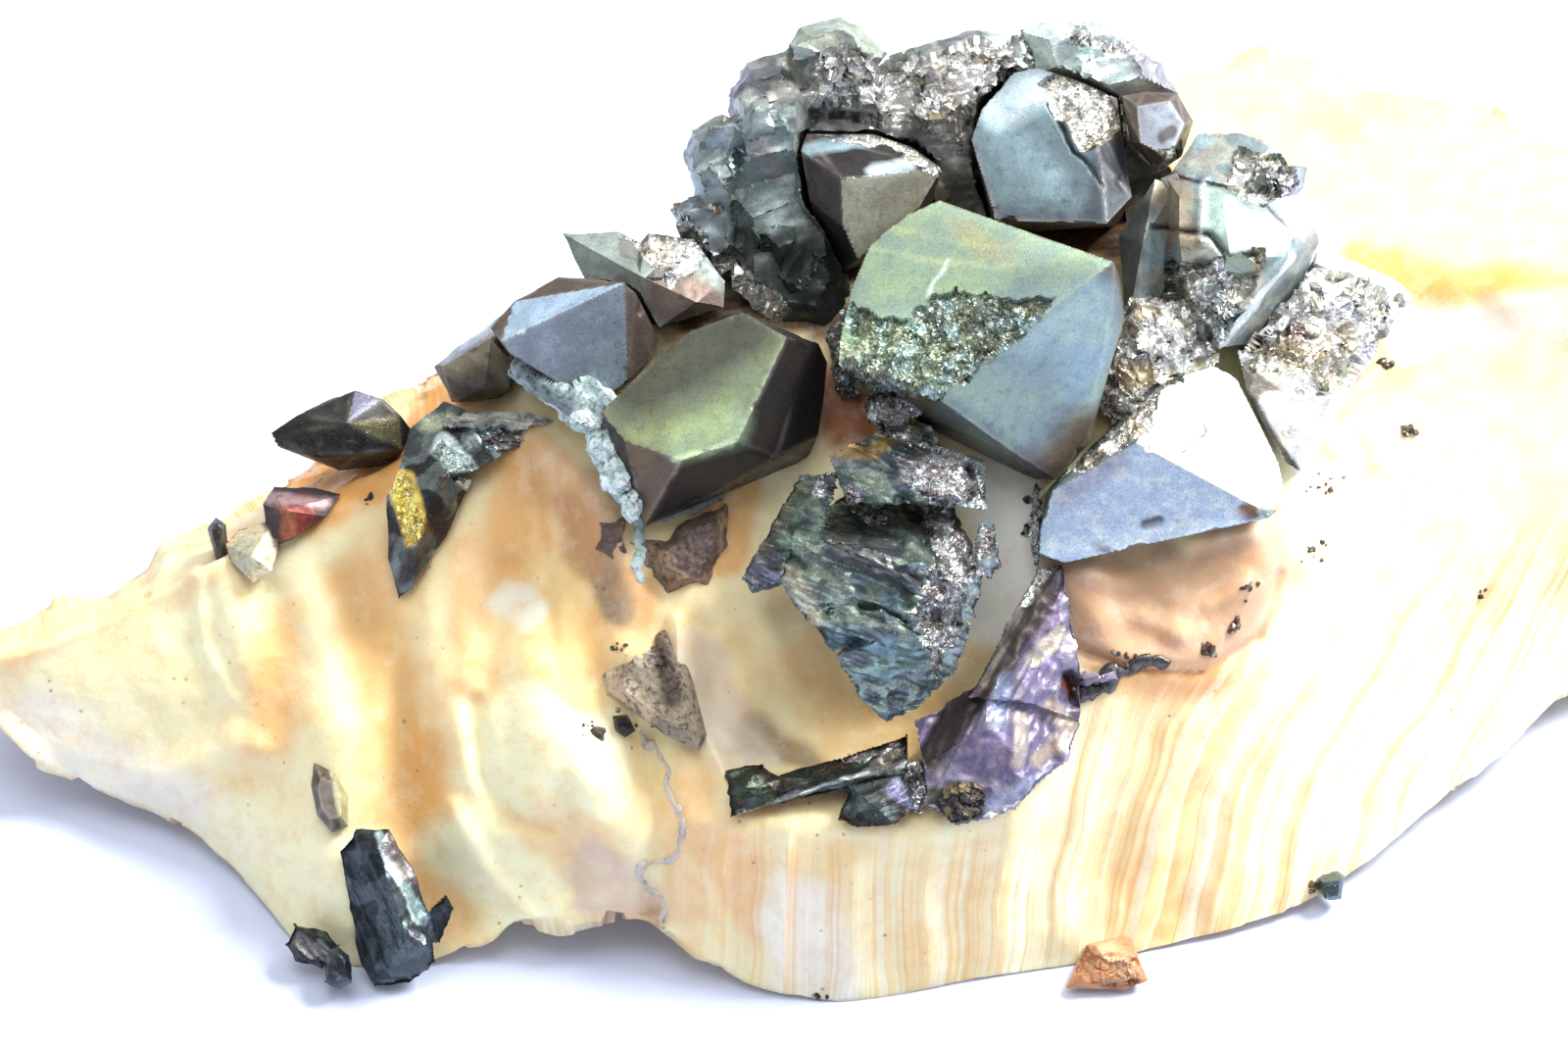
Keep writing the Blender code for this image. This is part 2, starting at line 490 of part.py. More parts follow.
def white_blue_crystal():
    """The lower right crystal: a bright top face, and a mottled triangular front face."""
    apex, right, low = seen(23.4, 5.3, 11), seen(31.4, 1.0, 9.8), seen(18.6, -2.7, 8.2)
    front = (apex, right, low)
    edge = [on_face(front, *p) for p in ((17.8, 2.1), (17.0, -0.4), (16.9, -2.1), (32.2, 0.3))]
    crown = (apex, right, seen(28.6, 10.4, 6.2))
    top = [on_face(crown, *p) for p in ((25.2, 9.4), (30.0, 9.6), (32.8, 4.0), (33.4, 1.4))]
    hidden = [seen(17.4, 2.4, 3), seen(18.4, -2, 2), seen(31.6, 0.6, 4), seen(25, 8, -2), seen(31, 7, -2),
              seen(24, 0, -2)]
    return [[*front, *edge, crown[2], *top, *hidden]]


def right_crystal():
    """The big broken crystal at the upper right, with the dark column at its left."""
    body = [seen(27.4, 25.8, 2), seen(30.2, 25.9, 1.6), seen(32.5, 25.2, 1.6), seen(34.4, 22.6, 2.6),
            seen(35.5, 18.7, 3.2), seen(34.0, 20.0, 5.2), seen(33.4, 17.6, 7), seen(28.8, 11.6, 7.2),
            seen(29.1, 21.3, 7.2), seen(26.2, 19.0, 7.2), seen(25.4, 22.8, 4.6), seen(26.2, 21.6, 6.6),
            seen(26.6, 15.2, 7.4), seen(29.6, 17.6, 8.2)]
    hidden = [seen(26, 20, -8), seen(34, 19, -8), seen(33, 12, -2), seen(25, 12, -2)]
    column = [seen(22.2, 19.0, 2.6), seen(24.6, 22.8, 2.4), seen(26.0, 22.4, 2.4), seen(25.2, 17.6, 4.4),
              seen(23.6, 12.2, 6), seen(22.6, 12.0, 6), seen(23.8, 18.6, 5.2), seen(25.8, 13, 4),
              seen(23, 12, -3), seen(25.6, 20, -5)]
    rubble = [*chunks(11, 4, ((27, 14, 6.6), (31, 15, 6.4), (29, 12, 6.6)), 1.7),
              *chunks(12, 4, ((30, 24, 3.2), (33.6, 23, 3.4), (31.5, 21.5, 5.2)), 1.5)]
    return [[*body, *hidden], column, *rubble]


def right_cluster():
    """The broken right end of the pyrite: a bright pitted lump with a sharp right edge."""
    body = [seen(30.0, 11.6, 4.0), seen(32.5, 15.2, 4.2), seen(35.4, 18.2, 1.0), seen(37.7, 17.4, 0.2),
            seen(40.6, 16.1, -0.6), seen(41.7, 15.0, -0.4), seen(40.2, 13.9, 1.6), seen(37.2, 8.2, 3.8),
            seen(34.2, 3.4, 5.0), seen(33.2, 4.0, 5.4), seen(30.8, 8.2, 5.2), seen(36.4, 8.4, 4.8),
            seen(36, 14, 4.2)]
    hidden = [seen(40, 12, -5), seen(35, 4, -1), seen(36, 16, -7), seen(31, 8, -4), seen(30, 12, -6)]
    rubble = [*chunks(21, 9, ((33, 14, 4.2), (36.4, 16.6, 2.0), (40, 15, 1.2), (36, 11, 4.0)), 1.6)]
    return [[*body, *hidden], *rubble]


def rear_mass():
    """The mound of broken pyrite behind the crystals: rounded blocks under a coat of rubble."""
    mound = [spot(*p) for p in (
        (-9, 11, 27), (-8, 20, 25), (0, 26, 29), (14, 29, 30.5), (25, 28, 31), (28, 18, 31),
        (-5, 14, 38), (-1, 17, 42), (4, 20, 44.4), (13, 22.4, 43), (22, 22.4, 42), (25, 18, 40.5),
        (2, 24, 39), (20, 26.6, 38), (11, 27, 38.4))]
    blocks = [
        boulder([(-3.9, 28.3), (-2.6, 30.6), (0.3, 31.5), (2.0, 29), (1.8, 23), (-3.6, 22)], 1.5, 2.4, 6),
        boulder([(-6.9, 24.4), (-6.3, 26.2), (-4.0, 27.2), (-2.6, 24), (-3.0, 20), (-5.6, 20)], 0.6, 2.0, 6),
        boulder([(-7.8, 20.9), (-6.4, 21.8), (-3.4, 21.6), (-2.4, 17.8), (-4.2, 16.2), (-7, 18.8)], 1.0, 2.2, 6),
        boulder([(-3.8, 22), (0.8, 24), (3.9, 20), (4.6, 15.2), (3.0, 12.4), (-0.6, 12.9), (-3.6, 15.4)],
                1.4, 2.0, 7),
        boulder([(0.3, 31.7), (1.0, 32.8), (2.4, 33.5), (3.6, 33.6), (5.2, 33), (7.1, 30.8), (7, 27), (1.6, 27)],
                1.4, 2.8, 6),
        boulder([(6.8, 30.9), (9.4, 31.6), (12.9, 32.9), (15.6, 32.6), (16.4, 30), (13, 26), (7, 25.4)],
                -0.6, 2.4, 5),
        boulder([(15.6, 32.6), (17.3, 33.2), (19.8, 33.6), (21.2, 33.2), (23.3, 32.1), (25.2, 30.2),
                 (26.2, 28.4), (22, 27.6), (16.4, 29.6)], -2.0, 2.2, 5),
    ]
    rubble = [
        *chunks(31, 7, ((8, 30.5, 1.4), (13.5, 31.5, 0.6), (14.6, 27.6, 0.6), (9, 26.4, 2.0)), 1.5),
        *chunks(32, 5, ((2, 31.6, 3.6), (6.4, 31.4, 3.0), (5, 27, 3.6)), 1.5),
        *chunks(33, 5, ((17, 31.8, 0.2), (22.6, 31, -0.4), (20, 29.4, 0.4)), 1.5),
        *chunks(34, 6, ((-3.4, 29, 3), (1, 29, 3.6), (-6, 22, 2.4), (-5, 18, 3)), 1.6),
        *chunks(35, 4, ((-2, 20, 3.2), (3, 18, 3.4), (1, 14, 3.6)), 1.5),
        *chunks(36, 9, ((-4, 25, -8), (2, 28.6, -8), (12, 28.4, -11), (23, 27.4, -11), (20, 21, -15),
                        (4, 20, -14)), 3.2, 10),
    ]
    return [mound] + blocks + rubble


def nugget():
    """A dark folded nugget that hangs before the hollow, grown out of the crest behind it."""
    upper = [seen(2.9, 4.5, 10.6), seen(6.4, 6.2, 10.4), seen(10.4, 5.2, 10.6), seen(13.4, 4.2, 9.8),
             seen(13.5, 0.8, 10.4), seen(8, 2.6, 13.2), seen(12, 1.6, 12.2), seen(4.2, 1.2, 12.6)]
    middle = [seen(0.4, -0.8, 11.6), seen(-0.4, -3.8, 11.4), seen(1.0, -6.0, 11.6), seen(3.2, -8.6, 11.6),
              seen(13.5, -3.4, 10.6), seen(12.8, -6.4, 10.4), seen(4, -3.4, 14.4), seen(9, -2.6, 14.2),
              seen(11.8, -4, 12.6)]
    lower = [seen(3.4, -8.8, 11.2), seen(4.8, -11.6, 10.4), seen(6.8, -13.3, 9.6), seen(8.9, -12.4, 9.4),
             seen(11.3, -10.2, 9.4), seen(12.6, -6.8, 10), seen(7, -7.6, 13.6), seen(10, -7.4, 12.2)]
    left = [seen(-2.9, -3.8, 8.2), seen(-2.0, -2.1, 8.4), seen(0.9, 3.2, 9.2), seen(3.6, 3.4, 10.6),
            seen(2.4, -2.6, 11.2), seen(-0.4, -4.5, 8.8), seen(-2.1, -4.7, 8.2), seen(1, 0, 6)]
    stem = [seen(6.0, 8.4, 7.4), seen(7.4, 8.4, 7.4), seen(9.6, 6.9, 9.0), seen(10.4, 5.2, 10),
            seen(6.2, 5.4, 10), seen(6.6, 6.6, 4), seen(9.6, 5.6, 4), seen(7, 4, 4.4), seen(10, 3, 4.4)]
    knob = [seen(13.0, 0.3, 10.4), seen(14.0, -0.1, 10.2), seen(14.5, -3.0, 10), seen(13.6, -4.0, 9.8),
            seen(12.4, -2.6, 11.4), seen(13, -2, 8.4)]
    core = [seen(4, 2, 4.2), seen(11, 2, 4.2), seen(5, -5, 8), seen(10.6, -5, 8), seen(8, -10.6, 8.6)]
    folds = [[seen(2.2, -0.8, 13.2), seen(7.2, -3.2, 15.0), seen(11.2, -5.6, 13.4), seen(6.4, -1.6, 13.4),
              seen(7.4, -4.6, 13.2), seen(2.6, -2.4, 12.4)],
             [seen(2.4, -5.4, 13.0), seen(7.2, -7.0, 14.6), seen(10.8, -8.6, 12.4), seen(6.6, -5.6, 13.4),
              seen(7.2, -8.6, 12.6), seen(3.2, -7.0, 12.2)]]
    return [[*upper, *core[:2]], [*middle, *core[:4]], [*lower, *core[2:]], left, stem, knob, *folds]


def rim_plate():
    """The tarnished plate on the right lip of the hollow."""
    upper = [seen(16.8, -2.8, 7.0), seen(18.6, -2.6, 7.2), seen(18.0, -7.6, 8.0), seen(19.8, -10.0, 7.8),
             seen(16.4, -4.6, 7.4), seen(13.8, -9.4, 8.6), seen(12.2, -11.6, 9.6), seen(19.6, -13.2, 7.8),
             seen(16.5, -12, 9.8)]
    upper_under = [seen(17, -4, 3.4), seen(13.6, -11, 4.6), seen(18.6, -12, 4.4), seen(18.4, -8.6, 4.4)]
    lower = [seen(13.4, -10.4, 8.4), seen(18.6, -11.0, 7.4), seen(19.7, -13.4, 7.8), seen(18.9, -15.8, 8.6),
             seen(16.7, -17.2, 9.8), seen(15.4, -19.1, 10.2), seen(13.8, -19.7, 10.4), seen(11.4, -20.2, 10.2),
             seen(9.5, -18.9, 10.2), seen(8.6, -13.1, 7.6), seen(9.0, -16.2, 9.6), seen(13.4, -13.2, 10.6)]
    lower_under = [seen(9.6, -15, 4.4), seen(13, -18, 6.4), seen(18, -14, 5)]
    spur = [seen(18.4, -9.8, 7.4), seen(22.0, -9.8, 7.2), seen(22.2, -10.4, 7.0), seen(18.8, -11.4, 7.2),
            seen(20.2, -10.4, 8.4), seen(18.6, -11, 4.6), seen(21.8, -10.2, 5.0)]
    return [[*upper, *upper_under], [*lower, *lower_under], spur]


def rim_blades():
    """Dark blades along the front lip of the hollow, running to the plate."""
    left = [seen(-4.0, -16.4, 7.8), seen(-1.4, -15.8, 7.6), seen(0.2, -17.4, 8.2), seen(-1.0, -18.8, 8.8),
            seen(-3.6, -19.7, 8.8), seen(-2.6, -17.6, 9.2), seen(-3.0, -18, 5), seen(-0.8, -17.2, 5)]
    bridge = [seen(-0.9, -17.0, 8.0), seen(4.2, -16.6, 8.2), seen(8.3, -13.8, 6.8), seen(8.2, -16.6, 8.8),
              seen(4.6, -17.9, 8.8), seen(-0.9, -18.9, 8.6), seen(4.4, -17.0, 9.2), seen(0, -17.8, 5),
              seen(7.6, -16, 4.6)]
    foot = [seen(3.4, -19.8, 9.0), seen(4.2, -17.2, 8.8), seen(8.3, -16.4, 8.6), seen(8.9, -18.6, 9.4),
            seen(7.4, -20.1, 9.8), seen(4.8, -20.3, 9.4), seen(6, -18.8, 10.0), seen(5.4, -18.6, 5.6),
            seen(7.8, -18.4, 5.6)]
    return [left, bridge, foot]


def pale_crust():
    """The strip of pale crust between the left crystals, ending in dribbles."""
    parts = [
        [(-18.6, 11.4, 4.6), (-17.0, 11.0, 5.2), (-15.4, 8.4, 5.0), (-14.2, 9.2, 5.4)],
        [(-15.6, 8.9, 5.0), (-13.6, 9.6, 5.4), (-12.6, 6.2, 5.4), (-10.8, 7.0, 7.2)],
        [(-12.9, 6.9, 5.2), (-11.0, 7.2, 7.0), (-11.2, 2.6, 5.2), (-9.6, 3.6, 6.2)],
        [(-11.4, 3.4, 5.0), (-9.8, 3.8, 6.0), (-9.6, 0.4, 4.4), (-8.6, 1.0, 5.2)],
    ]
    return [[seen(*p) for p in part] + [seen(u, v, w - 3.6) for u, v, w in part] for part in parts]


def brown_lump():
    outline = [(-8.8, -1.8), (-6.6, 0.2), (-3.8, 1.2), (-3.6, -1.6), (-5.0, -4.2), (-7.8, -5.0), (-9.2, -3.8)]
    side = [(-12.4, 0.2), (-10.4, 0.4), (-9.8, -2.4), (-11.4, -3.2), (-12.8, -1.8)]
    bridge = [(-10.8, -0.6), (-8, -1), (-8, -4), (-10.8, -3)]
    return [boulder(outline, 4.4, 1.4, 4), boulder(side, 4.0, 1.0, 4), boulder(bridge, 4.2, 0.6, 3)]


def beige_lump():
    outline = [(-12.1, -10.0), (-10.8, -8.4), (-7.8, -7.0), (-6.6, -8.8), (-5.9, -10.9), (-5.1, -14.1),
               (-5.6, -15.2), (-7.8, -14.2), (-10.4, -12.2), (-11.8, -11.2)]
    return [boulder(outline, 5.8, 1.3, 4, lean=(0.1, -0.24))]


def small_pieces():
    """Small bits stuck to the calcite: the outline, depth, thickness and foot of each."""
    return {
        "pyrite_grain_left": ([(-15.2, -11.6), (-14.6, -10.6), (-13.4, -11.2), (-13.6, -12.4), (-15, -12.3)],
                              4.6, 2.2, ()),
        "pyrite_grain_low": ([(-13.2, -14.3), (-12.8, -13.3), (-11.7, -13.5), (-11.5, -14.6), (-12.5, -15)],
                             5.4, 2.2, ()),
        "pyrite_grain_right": ([(-11.4, -12.8), (-10.4, -12.7), (-9.8, -13.8), (-10.5, -14.3), (-11.3, -13.8)],
                               5.4, 2.2, ()),
        "pyrite_grain_crest": ([(-38.3, -0.4), (-37.7, 0.4), (-37.0, -0.1), (-37.2, -1.5), (-37.9, -1.8)],
                               -4.4, 1.0, ((-37.6, 1.0, 15.6), (-37.2, 2.4, 15.6))),
        "pyrite_grain_wall": ([(35.4, -23.6), (37.2, -23.4), (37.0, -25), (35.8, -25.2)],
                              -3.0, 1.0, ((35.6, -12.6, 1.4), (36.8, -11.8, 1.6))),
        "calcite_chip": ([(18.6, -30.9), (20.6, -28.0), (23.4, -28.6), (24.2, -30.4), (22.6, -31.0)],
                         2.2, 0.9, ((20, -18.4, 0.9), (23, -17.4, 0.9))),
    }


def foot_crystal():
    """The long dark crystal at the left foot, with a forked right end."""
    body = [seen(-29.6, -21.8, 3.4), seen(-28.4, -20.2, 3.8), seen(-26.2, -20.3, 4.6), seen(-24.6, -22.8, 4.2),
            seen(-23.2, -26.6, 3.8), seen(-23.0, -29.2, 2.8), seen(-24.8, -30.7, 2.3), seen(-27.2, -30.9, 2.0),
            seen(-28.1, -29.2, 1.9), seen(-27.6, -26.4, 2.8), seen(-27.0, -21.6, 5.6), seen(-25.0, -27.6, 5.8),
            seen(-28, -22.4, 0), seen(-25, -23, 0), seen(-24, -28.2, 0), seen(-27.4, -28.2, 0)]
    fork = [seen(-24.2, -26.4, 4.4), seen(-22.4, -24.6, 3.8), seen(-21.8, -25.6, 3.4), seen(-22.8, -28.0, 3.4),
            seen(-24.4, -28, 4.2), seen(-22.6, -26, 0.4)]
    return [body, fork]


def foot_chip():
    outline = [(-31.4, -17.4), (-31.2, -15.9), (-29.7, -16.4), (-28.9, -18.2), (-28.9, -20.2), (-30.0, -20.6),
               (-31.0, -19.4)]
    return [boulder(outline, 1.9, 1.1, 3, lean=(0.1, -0.3))]


def foot_chain():
    """Three joined crystals along the left foot, the last one down on the ground."""
    parts = [([(-34.6, -25.4), (-33.8, -24.8), (-32.0, -26.6), (-32.0, -27.8), (-33.8, -27.2)], -0.8, 1.2),
             ([(-33.3, -28.0), (-32.6, -26.4), (-30.2, -27.0), (-29.0, -28.6), (-30.6, -29.8), (-32.5, -29.2)],
              1.5, 1.0),
             ([(-30.8, -29.0), (-29.6, -27.8), (-28.7, -28.6), (-28.7, -30.4), (-29.4, -31.0), (-30.6, -30.6)],
              3.0, 1.2)]
    return [boulder(outline, w, 0.9, back) for outline, w, back in parts]


def pieces():
    """Every piece on the calcite, the ones that keep their whole shape first."""
    listed = [
        ("pyrite_centre_crystal", centre_crystal(), "olive"),
        ("pyrite_lower_right_crystal", white_blue_crystal(), "blue"),
        ("pyrite_green_crystal", green_crystal(), "olive"),
        ("pyrite_nugget", nugget(), "dark"),
        ("pyrite_shelf_crystal", shelf_crystal(), "brown"),
        ("pyrite_back_crystal", back_crystal(), "steel"),
        ("pyrite_small_back_crystal", small_back_crystal(), "steel"),
        ("pyrite_right_crystal", right_crystal(), "silver"),
        ("pyrite_right_cluster", right_cluster(), "silver"),
        ("pyrite_grey_crystal", grey_crystal(), "steel"),
        ("pyrite_spiked_crystal", spiked_crystal(), "brown"),
        ("pyrite_left_back_crystal", left_back_crystal(), "brown"),
        ("pyrite_rear_mass", rear_mass(), "dark"),
        ("pyrite_ridge_crystal", ridge_crystal(), "dark"),
        ("pyrite_gold_crystal", gold_crystal(), "silver"),
        ("pyrite_red_crystal", red_crystal(), "red"),
        ("pyrite_rim_plate", rim_plate(), "purple"),
        ("pyrite_rim_blades", rim_blades(), "dark"),
        ("pyrite_foot_crystal", foot_crystal(), "dark"),
        ("pyrite_foot_chip", foot_chip(), "brown"),
        ("pyrite_foot_chain", foot_chain(), "dark"),
        ("beige_lump", beige_lump(), "beige"),
        ("brown_lump", brown_lump(), "brown"),
        ("pale_crust", pale_crust(), "crust"),
    ]
    for name, (outline, depth, back, foot) in small_pieces().items():
        finish = "calcite" if name.startswith("calcite") else "dark"
        listed.append((name, [boulder(outline, depth, 0.8, back, foot)], finish))
    return listed


def build():
    clear_scene()
    finishes = {
        "calcite": material("calcite", (0.92, 0.72, 0.47), 0.0, 0.35),
        "olive": material("olive tarnish", (0.27, 0.29, 0.16), 1.0, 0.32),
        "steel": material("steel tarnish", (0.24, 0.27, 0.31), 1.0, 0.34),
        "blue": material("blue mottled tarnish", (0.42, 0.46, 0.58), 1.0, 0.38),
        "brown": material("brown tarnish", (0.22, 0.18, 0.13), 1.0, 0.42),
        "dark": material("dark tarnish", (0.10, 0.11, 0.11), 1.0, 0.35),
        "silver": material("fresh break", (0.62, 0.58, 0.48), 1.0, 0.22),
        "purple": material("purple tarnish", (0.30, 0.25, 0.36), 1.0, 0.36),
        "red": material("red oxide", (0.22, 0.05, 0.03), 0.6, 0.40),
        "beige": material("beige crust", (0.55, 0.45, 0.32), 0.0, 0.75),
        "crust": material("pale crust", (0.55, 0.60, 0.58), 0.0, 0.80),
    }
    specimen = bpy.data.collections.new("pyrite on calcite")
    bpy.context.scene.collection.children.link(specimen)
    whole = bpy.data.objects.new("specimen", None)
    specimen.objects.link(whole)
    calcite = add_object("calcite_matrix", calcite_mesh(), finishes["calcite"], specimen)
    placed = []
    for name, members, finish in pieces():
        obj = add_object(name, hull_mesh(members[0]), finishes[finish], specimen)
        for member in members[1:]:
            combine(obj, hull_mesh(member), "UNION")
        for neighbour in placed:
            for member in neighbour:
                if reach_each_other(members, member):
                    combine(obj, grown_mesh(member), "DIFFERENCE")
        for member in members:
            combine(calcite, grown_mesh(member), "DIFFERENCE")
        keep_largest(obj)
        obj.parent = whole
        placed.append(members)
    keep_largest(calcite)
    calcite.parent = whole


def reach_each_other(members, other):
    """Whether the box round the members comes within the contact gap of the other's box."""
    mine = np.concatenate([np.array(m) for m in members])
    theirs = np.array(other)
    apart = np.maximum(mine.min(0) - theirs.max(0), theirs.min(0) - mine.max(0))
    return bool((apart < 2 * CONTACT_GAP).all())


build()
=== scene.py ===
# %% [markdown]
# # Pyrite on calcite, dressed for its portrait
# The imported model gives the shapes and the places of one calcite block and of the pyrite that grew
# on it. This lesson gives each of them a dense skin, with the breaks, growth lines and tarnish that
# a camera sees from close by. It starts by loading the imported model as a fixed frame. Nothing in
# the frame is moved: each new skin stands for the flat-faced solid in the same place.

# %% Load the frame
import math

import bmesh
import bpy
import numpy as np
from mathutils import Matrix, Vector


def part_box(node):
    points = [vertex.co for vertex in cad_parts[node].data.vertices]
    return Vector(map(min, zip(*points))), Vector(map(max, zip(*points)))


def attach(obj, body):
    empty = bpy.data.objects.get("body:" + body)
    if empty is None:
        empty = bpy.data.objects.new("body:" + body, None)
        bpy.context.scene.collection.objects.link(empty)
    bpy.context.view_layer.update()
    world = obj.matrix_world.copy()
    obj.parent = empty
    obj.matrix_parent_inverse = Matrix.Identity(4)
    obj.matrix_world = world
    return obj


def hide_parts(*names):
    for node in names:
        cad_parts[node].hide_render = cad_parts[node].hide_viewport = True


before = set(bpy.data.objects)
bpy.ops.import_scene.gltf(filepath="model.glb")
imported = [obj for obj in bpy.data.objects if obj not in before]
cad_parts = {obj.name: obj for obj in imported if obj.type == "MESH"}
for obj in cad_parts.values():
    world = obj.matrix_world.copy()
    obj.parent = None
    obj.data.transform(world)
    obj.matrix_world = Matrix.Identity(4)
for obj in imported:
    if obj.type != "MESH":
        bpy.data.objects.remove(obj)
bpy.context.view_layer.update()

MM = 0.001
print("nodes in the frame:", len(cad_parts))

# %% [markdown]
# ## The line of sight
# A photograph gives two of the three numbers of a point, so everything that was read from it is
# written as (u, v, w) in millimetres: u to the right and v upwards on the plane through the middle
# of the view, and w towards the eye. Points that share u and v hide each other in the photograph,
# and only w has to be judged. It could also be written as pixels, but millimetres keep their
# meaning when the picture is made at another size.

# %% Place of the eye
VIEW_CENTRE = np.array([-3.88, -8.2, 22.0])
VIEW_HEIGHT = math.radians(42)
EYE_DISTANCE, VIEW_WIDTH = 420.0, 104.0
RIGHT = np.array([1.0, 0.0, 0.0])
UPWARD = np.array([0.0, math.sin(VIEW_HEIGHT), math.cos(VIEW_HEIGHT)])
TOWARD = np.array([0.0, -math.cos(VIEW_HEIGHT), math.sin(VIEW_HEIGHT)])


def seen(u, v, w):
    """The point on the sight line through (u, v), w mm in front of the middle of the view."""
    shrink = (EYE_DISTANCE - w) / EYE_DISTANCE
    return VIEW_CENTRE + (RIGHT * u + UPWARD * v) * shrink + TOWARD * w


def as_seen(points):
    """The (u, v) of many points: their offsets to the right and upwards, spread by nearness."""
    offset = points - VIEW_CENTRE
    scale = EYE_DISTANCE / (EYE_DISTANCE - offset @ TOWARD)
    return np.column_stack([offset @ RIGHT * scale, offset @ UPWARD * scale])


def add_camera():
    """A camera at the eye, whose frame is VIEW_WIDTH wide at the middle of the view."""
    data = bpy.data.cameras.new("camera")
    data.sensor_width = 36
    data.lens = data.sensor_width * EYE_DISTANCE / VIEW_WIDTH
    data.clip_start, data.clip_end = 0.01, 20
    camera = bpy.data.objects.new("camera", data)
    camera.location = (VIEW_CENTRE + TOWARD * EYE_DISTANCE) * MM
    camera.rotation_euler = (math.pi / 2 - VIEW_HEIGHT, 0, 0)
    bpy.context.scene.collection.objects.link(camera)
    bpy.context.scene.camera = camera
    return camera


print("lens in mm:", round(add_camera().data.lens, 1))

# %% [markdown]
# ## Chance that repeats
# Rock is uneven in two ways. Worn or dissolved skins roll softly, and broken ones are made of
# flat pieces that meet at sharp corners. Both can be worked out from a point's place alone, so the
# result never changes and neighbours agree. Blender's own noise would need a call for each point.
# Here whole arrays go through it at once.

# %% Soft noise and broken facets


def hashed(cell, salt):
    """A fixed number from 0 to 1 for each whole-number cell: three primes times its three
    numbers, mixed by shifts and odd factors in 32 bits."""
    whole = cell.astype(np.int64).astype(np.uint32)
    mixed = whole[..., 0] * np.uint32(73856093) ^ whole[..., 1] * np.uint32(19349663)
    mixed ^= whole[..., 2] * np.uint32(83492791) ^ np.uint32(salt * 977 + 12345)
    mixed = (mixed ^ mixed >> np.uint32(13)) * np.uint32(1274126177)
    mixed = (mixed ^ mixed >> np.uint32(16)) * np.uint32(2246822519)
    return (mixed ^ mixed >> np.uint32(15)) / 2.0 ** 32


def soft(points, size, salt=0, octaves=1):
    """Smooth noise from -1 to 1: random corner values of cubes of that size, eased in between.
    Each further octave has half the size and half the weight."""
    total = np.zeros(len(points))
    for octave in range(octaves):
        place = points / size * 2 ** octave
        low = np.floor(place)
        ease = (place - low) ** 2 * (3 - 2 * (place - low))
        for corner in np.ndindex(2, 2, 2):
            share = np.prod(np.where(corner, ease, 1 - ease), axis=-1)
            total += share * (2 * hashed(low + corner, salt + 31 * octave) - 1) / 2 ** octave
    return total


def shattered(points, size, salt=0):
    """Flat broken facets: each point belongs to the nearest of the seeds scattered one to a cube,
    and each seed carries a tilted plane. Gives the height over it (about -size to size) and a
    random number of the facet."""
    place = points / size
    low = np.floor(place)
    nearest = np.full(len(points), np.inf)
    home, away = low.copy(), np.zeros_like(place)
    for corner in np.ndindex(3, 3, 3):
        cell = low + corner - 1
        step = place - cell - np.stack([hashed(cell, salt + k) for k in (1, 2, 3)], axis=-1)
        gap = (step ** 2).sum(axis=-1)
        closer = gap < nearest
        nearest = np.where(closer, gap, nearest)
        home = np.where(closer[:, None], cell, home)
        away = np.where(closer[:, None], step, away)
    tilt = 2 * np.stack([hashed(home, salt + k) for k in (4, 5, 6)], axis=-1) - 1
    height = (away * tilt).sum(axis=-1) + 0.8 * hashed(home, salt + 7) - 0.4
    return height * size, hashed(home, salt + 8)


def distance_to(line, points):
    """How far each (u, v) point is from a line of straight pieces."""
    best = np.full(len(points), np.inf)
    for a, b in zip(np.array(line[:-1], float), np.array(line[1:], float)):
        t = np.clip((points - a) @ (b - a) / ((b - a) @ (b - a) + 1e-9), 0, 1)
        best = np.minimum(best, np.linalg.norm(points - a - t[:, None] * (b - a), axis=1))
    return best


def within(line, reach, uv, fade=0.5):
    """1 within the reach of a line on the picture plane, falling to 0 over the fade beyond it."""
    return np.clip((reach + fade - distance_to(line, uv)) / fade, 0, 1)


print("soft noise at three points:", soft(np.array([[0.2, 0.4, 0.6], [5, 5, 5.5], [9, 1, 0]]), 2.0).round(3))

# %% [markdown]
# ## From arrays to a piece
# Every piece is made the same way: points in millimetres and faces go into a mesh, and masks that
# were worked out with the shape become attributes that its material reads. The piece rides on the
# one body of the frame and stands for its solid there.

# %% Make a piece


def faces_normals(points, faces):
    """The mean outward direction at each point: the crosses of all faces round it, added up."""
    corners = points[faces]
    cross = np.cross(corners[:, 2] - corners[:, 0], corners[:, 3 % faces.shape[1]] - corners[:, 1])
    total = np.zeros_like(points)
    for axis in range(3):
        spread = np.repeat(cross[:, axis], faces.shape[1])
        total[:, axis] = np.bincount(faces.ravel(), weights=spread, minlength=len(points))
    return total / (np.linalg.norm(total, axis=1, keepdims=True) + 1e-12)


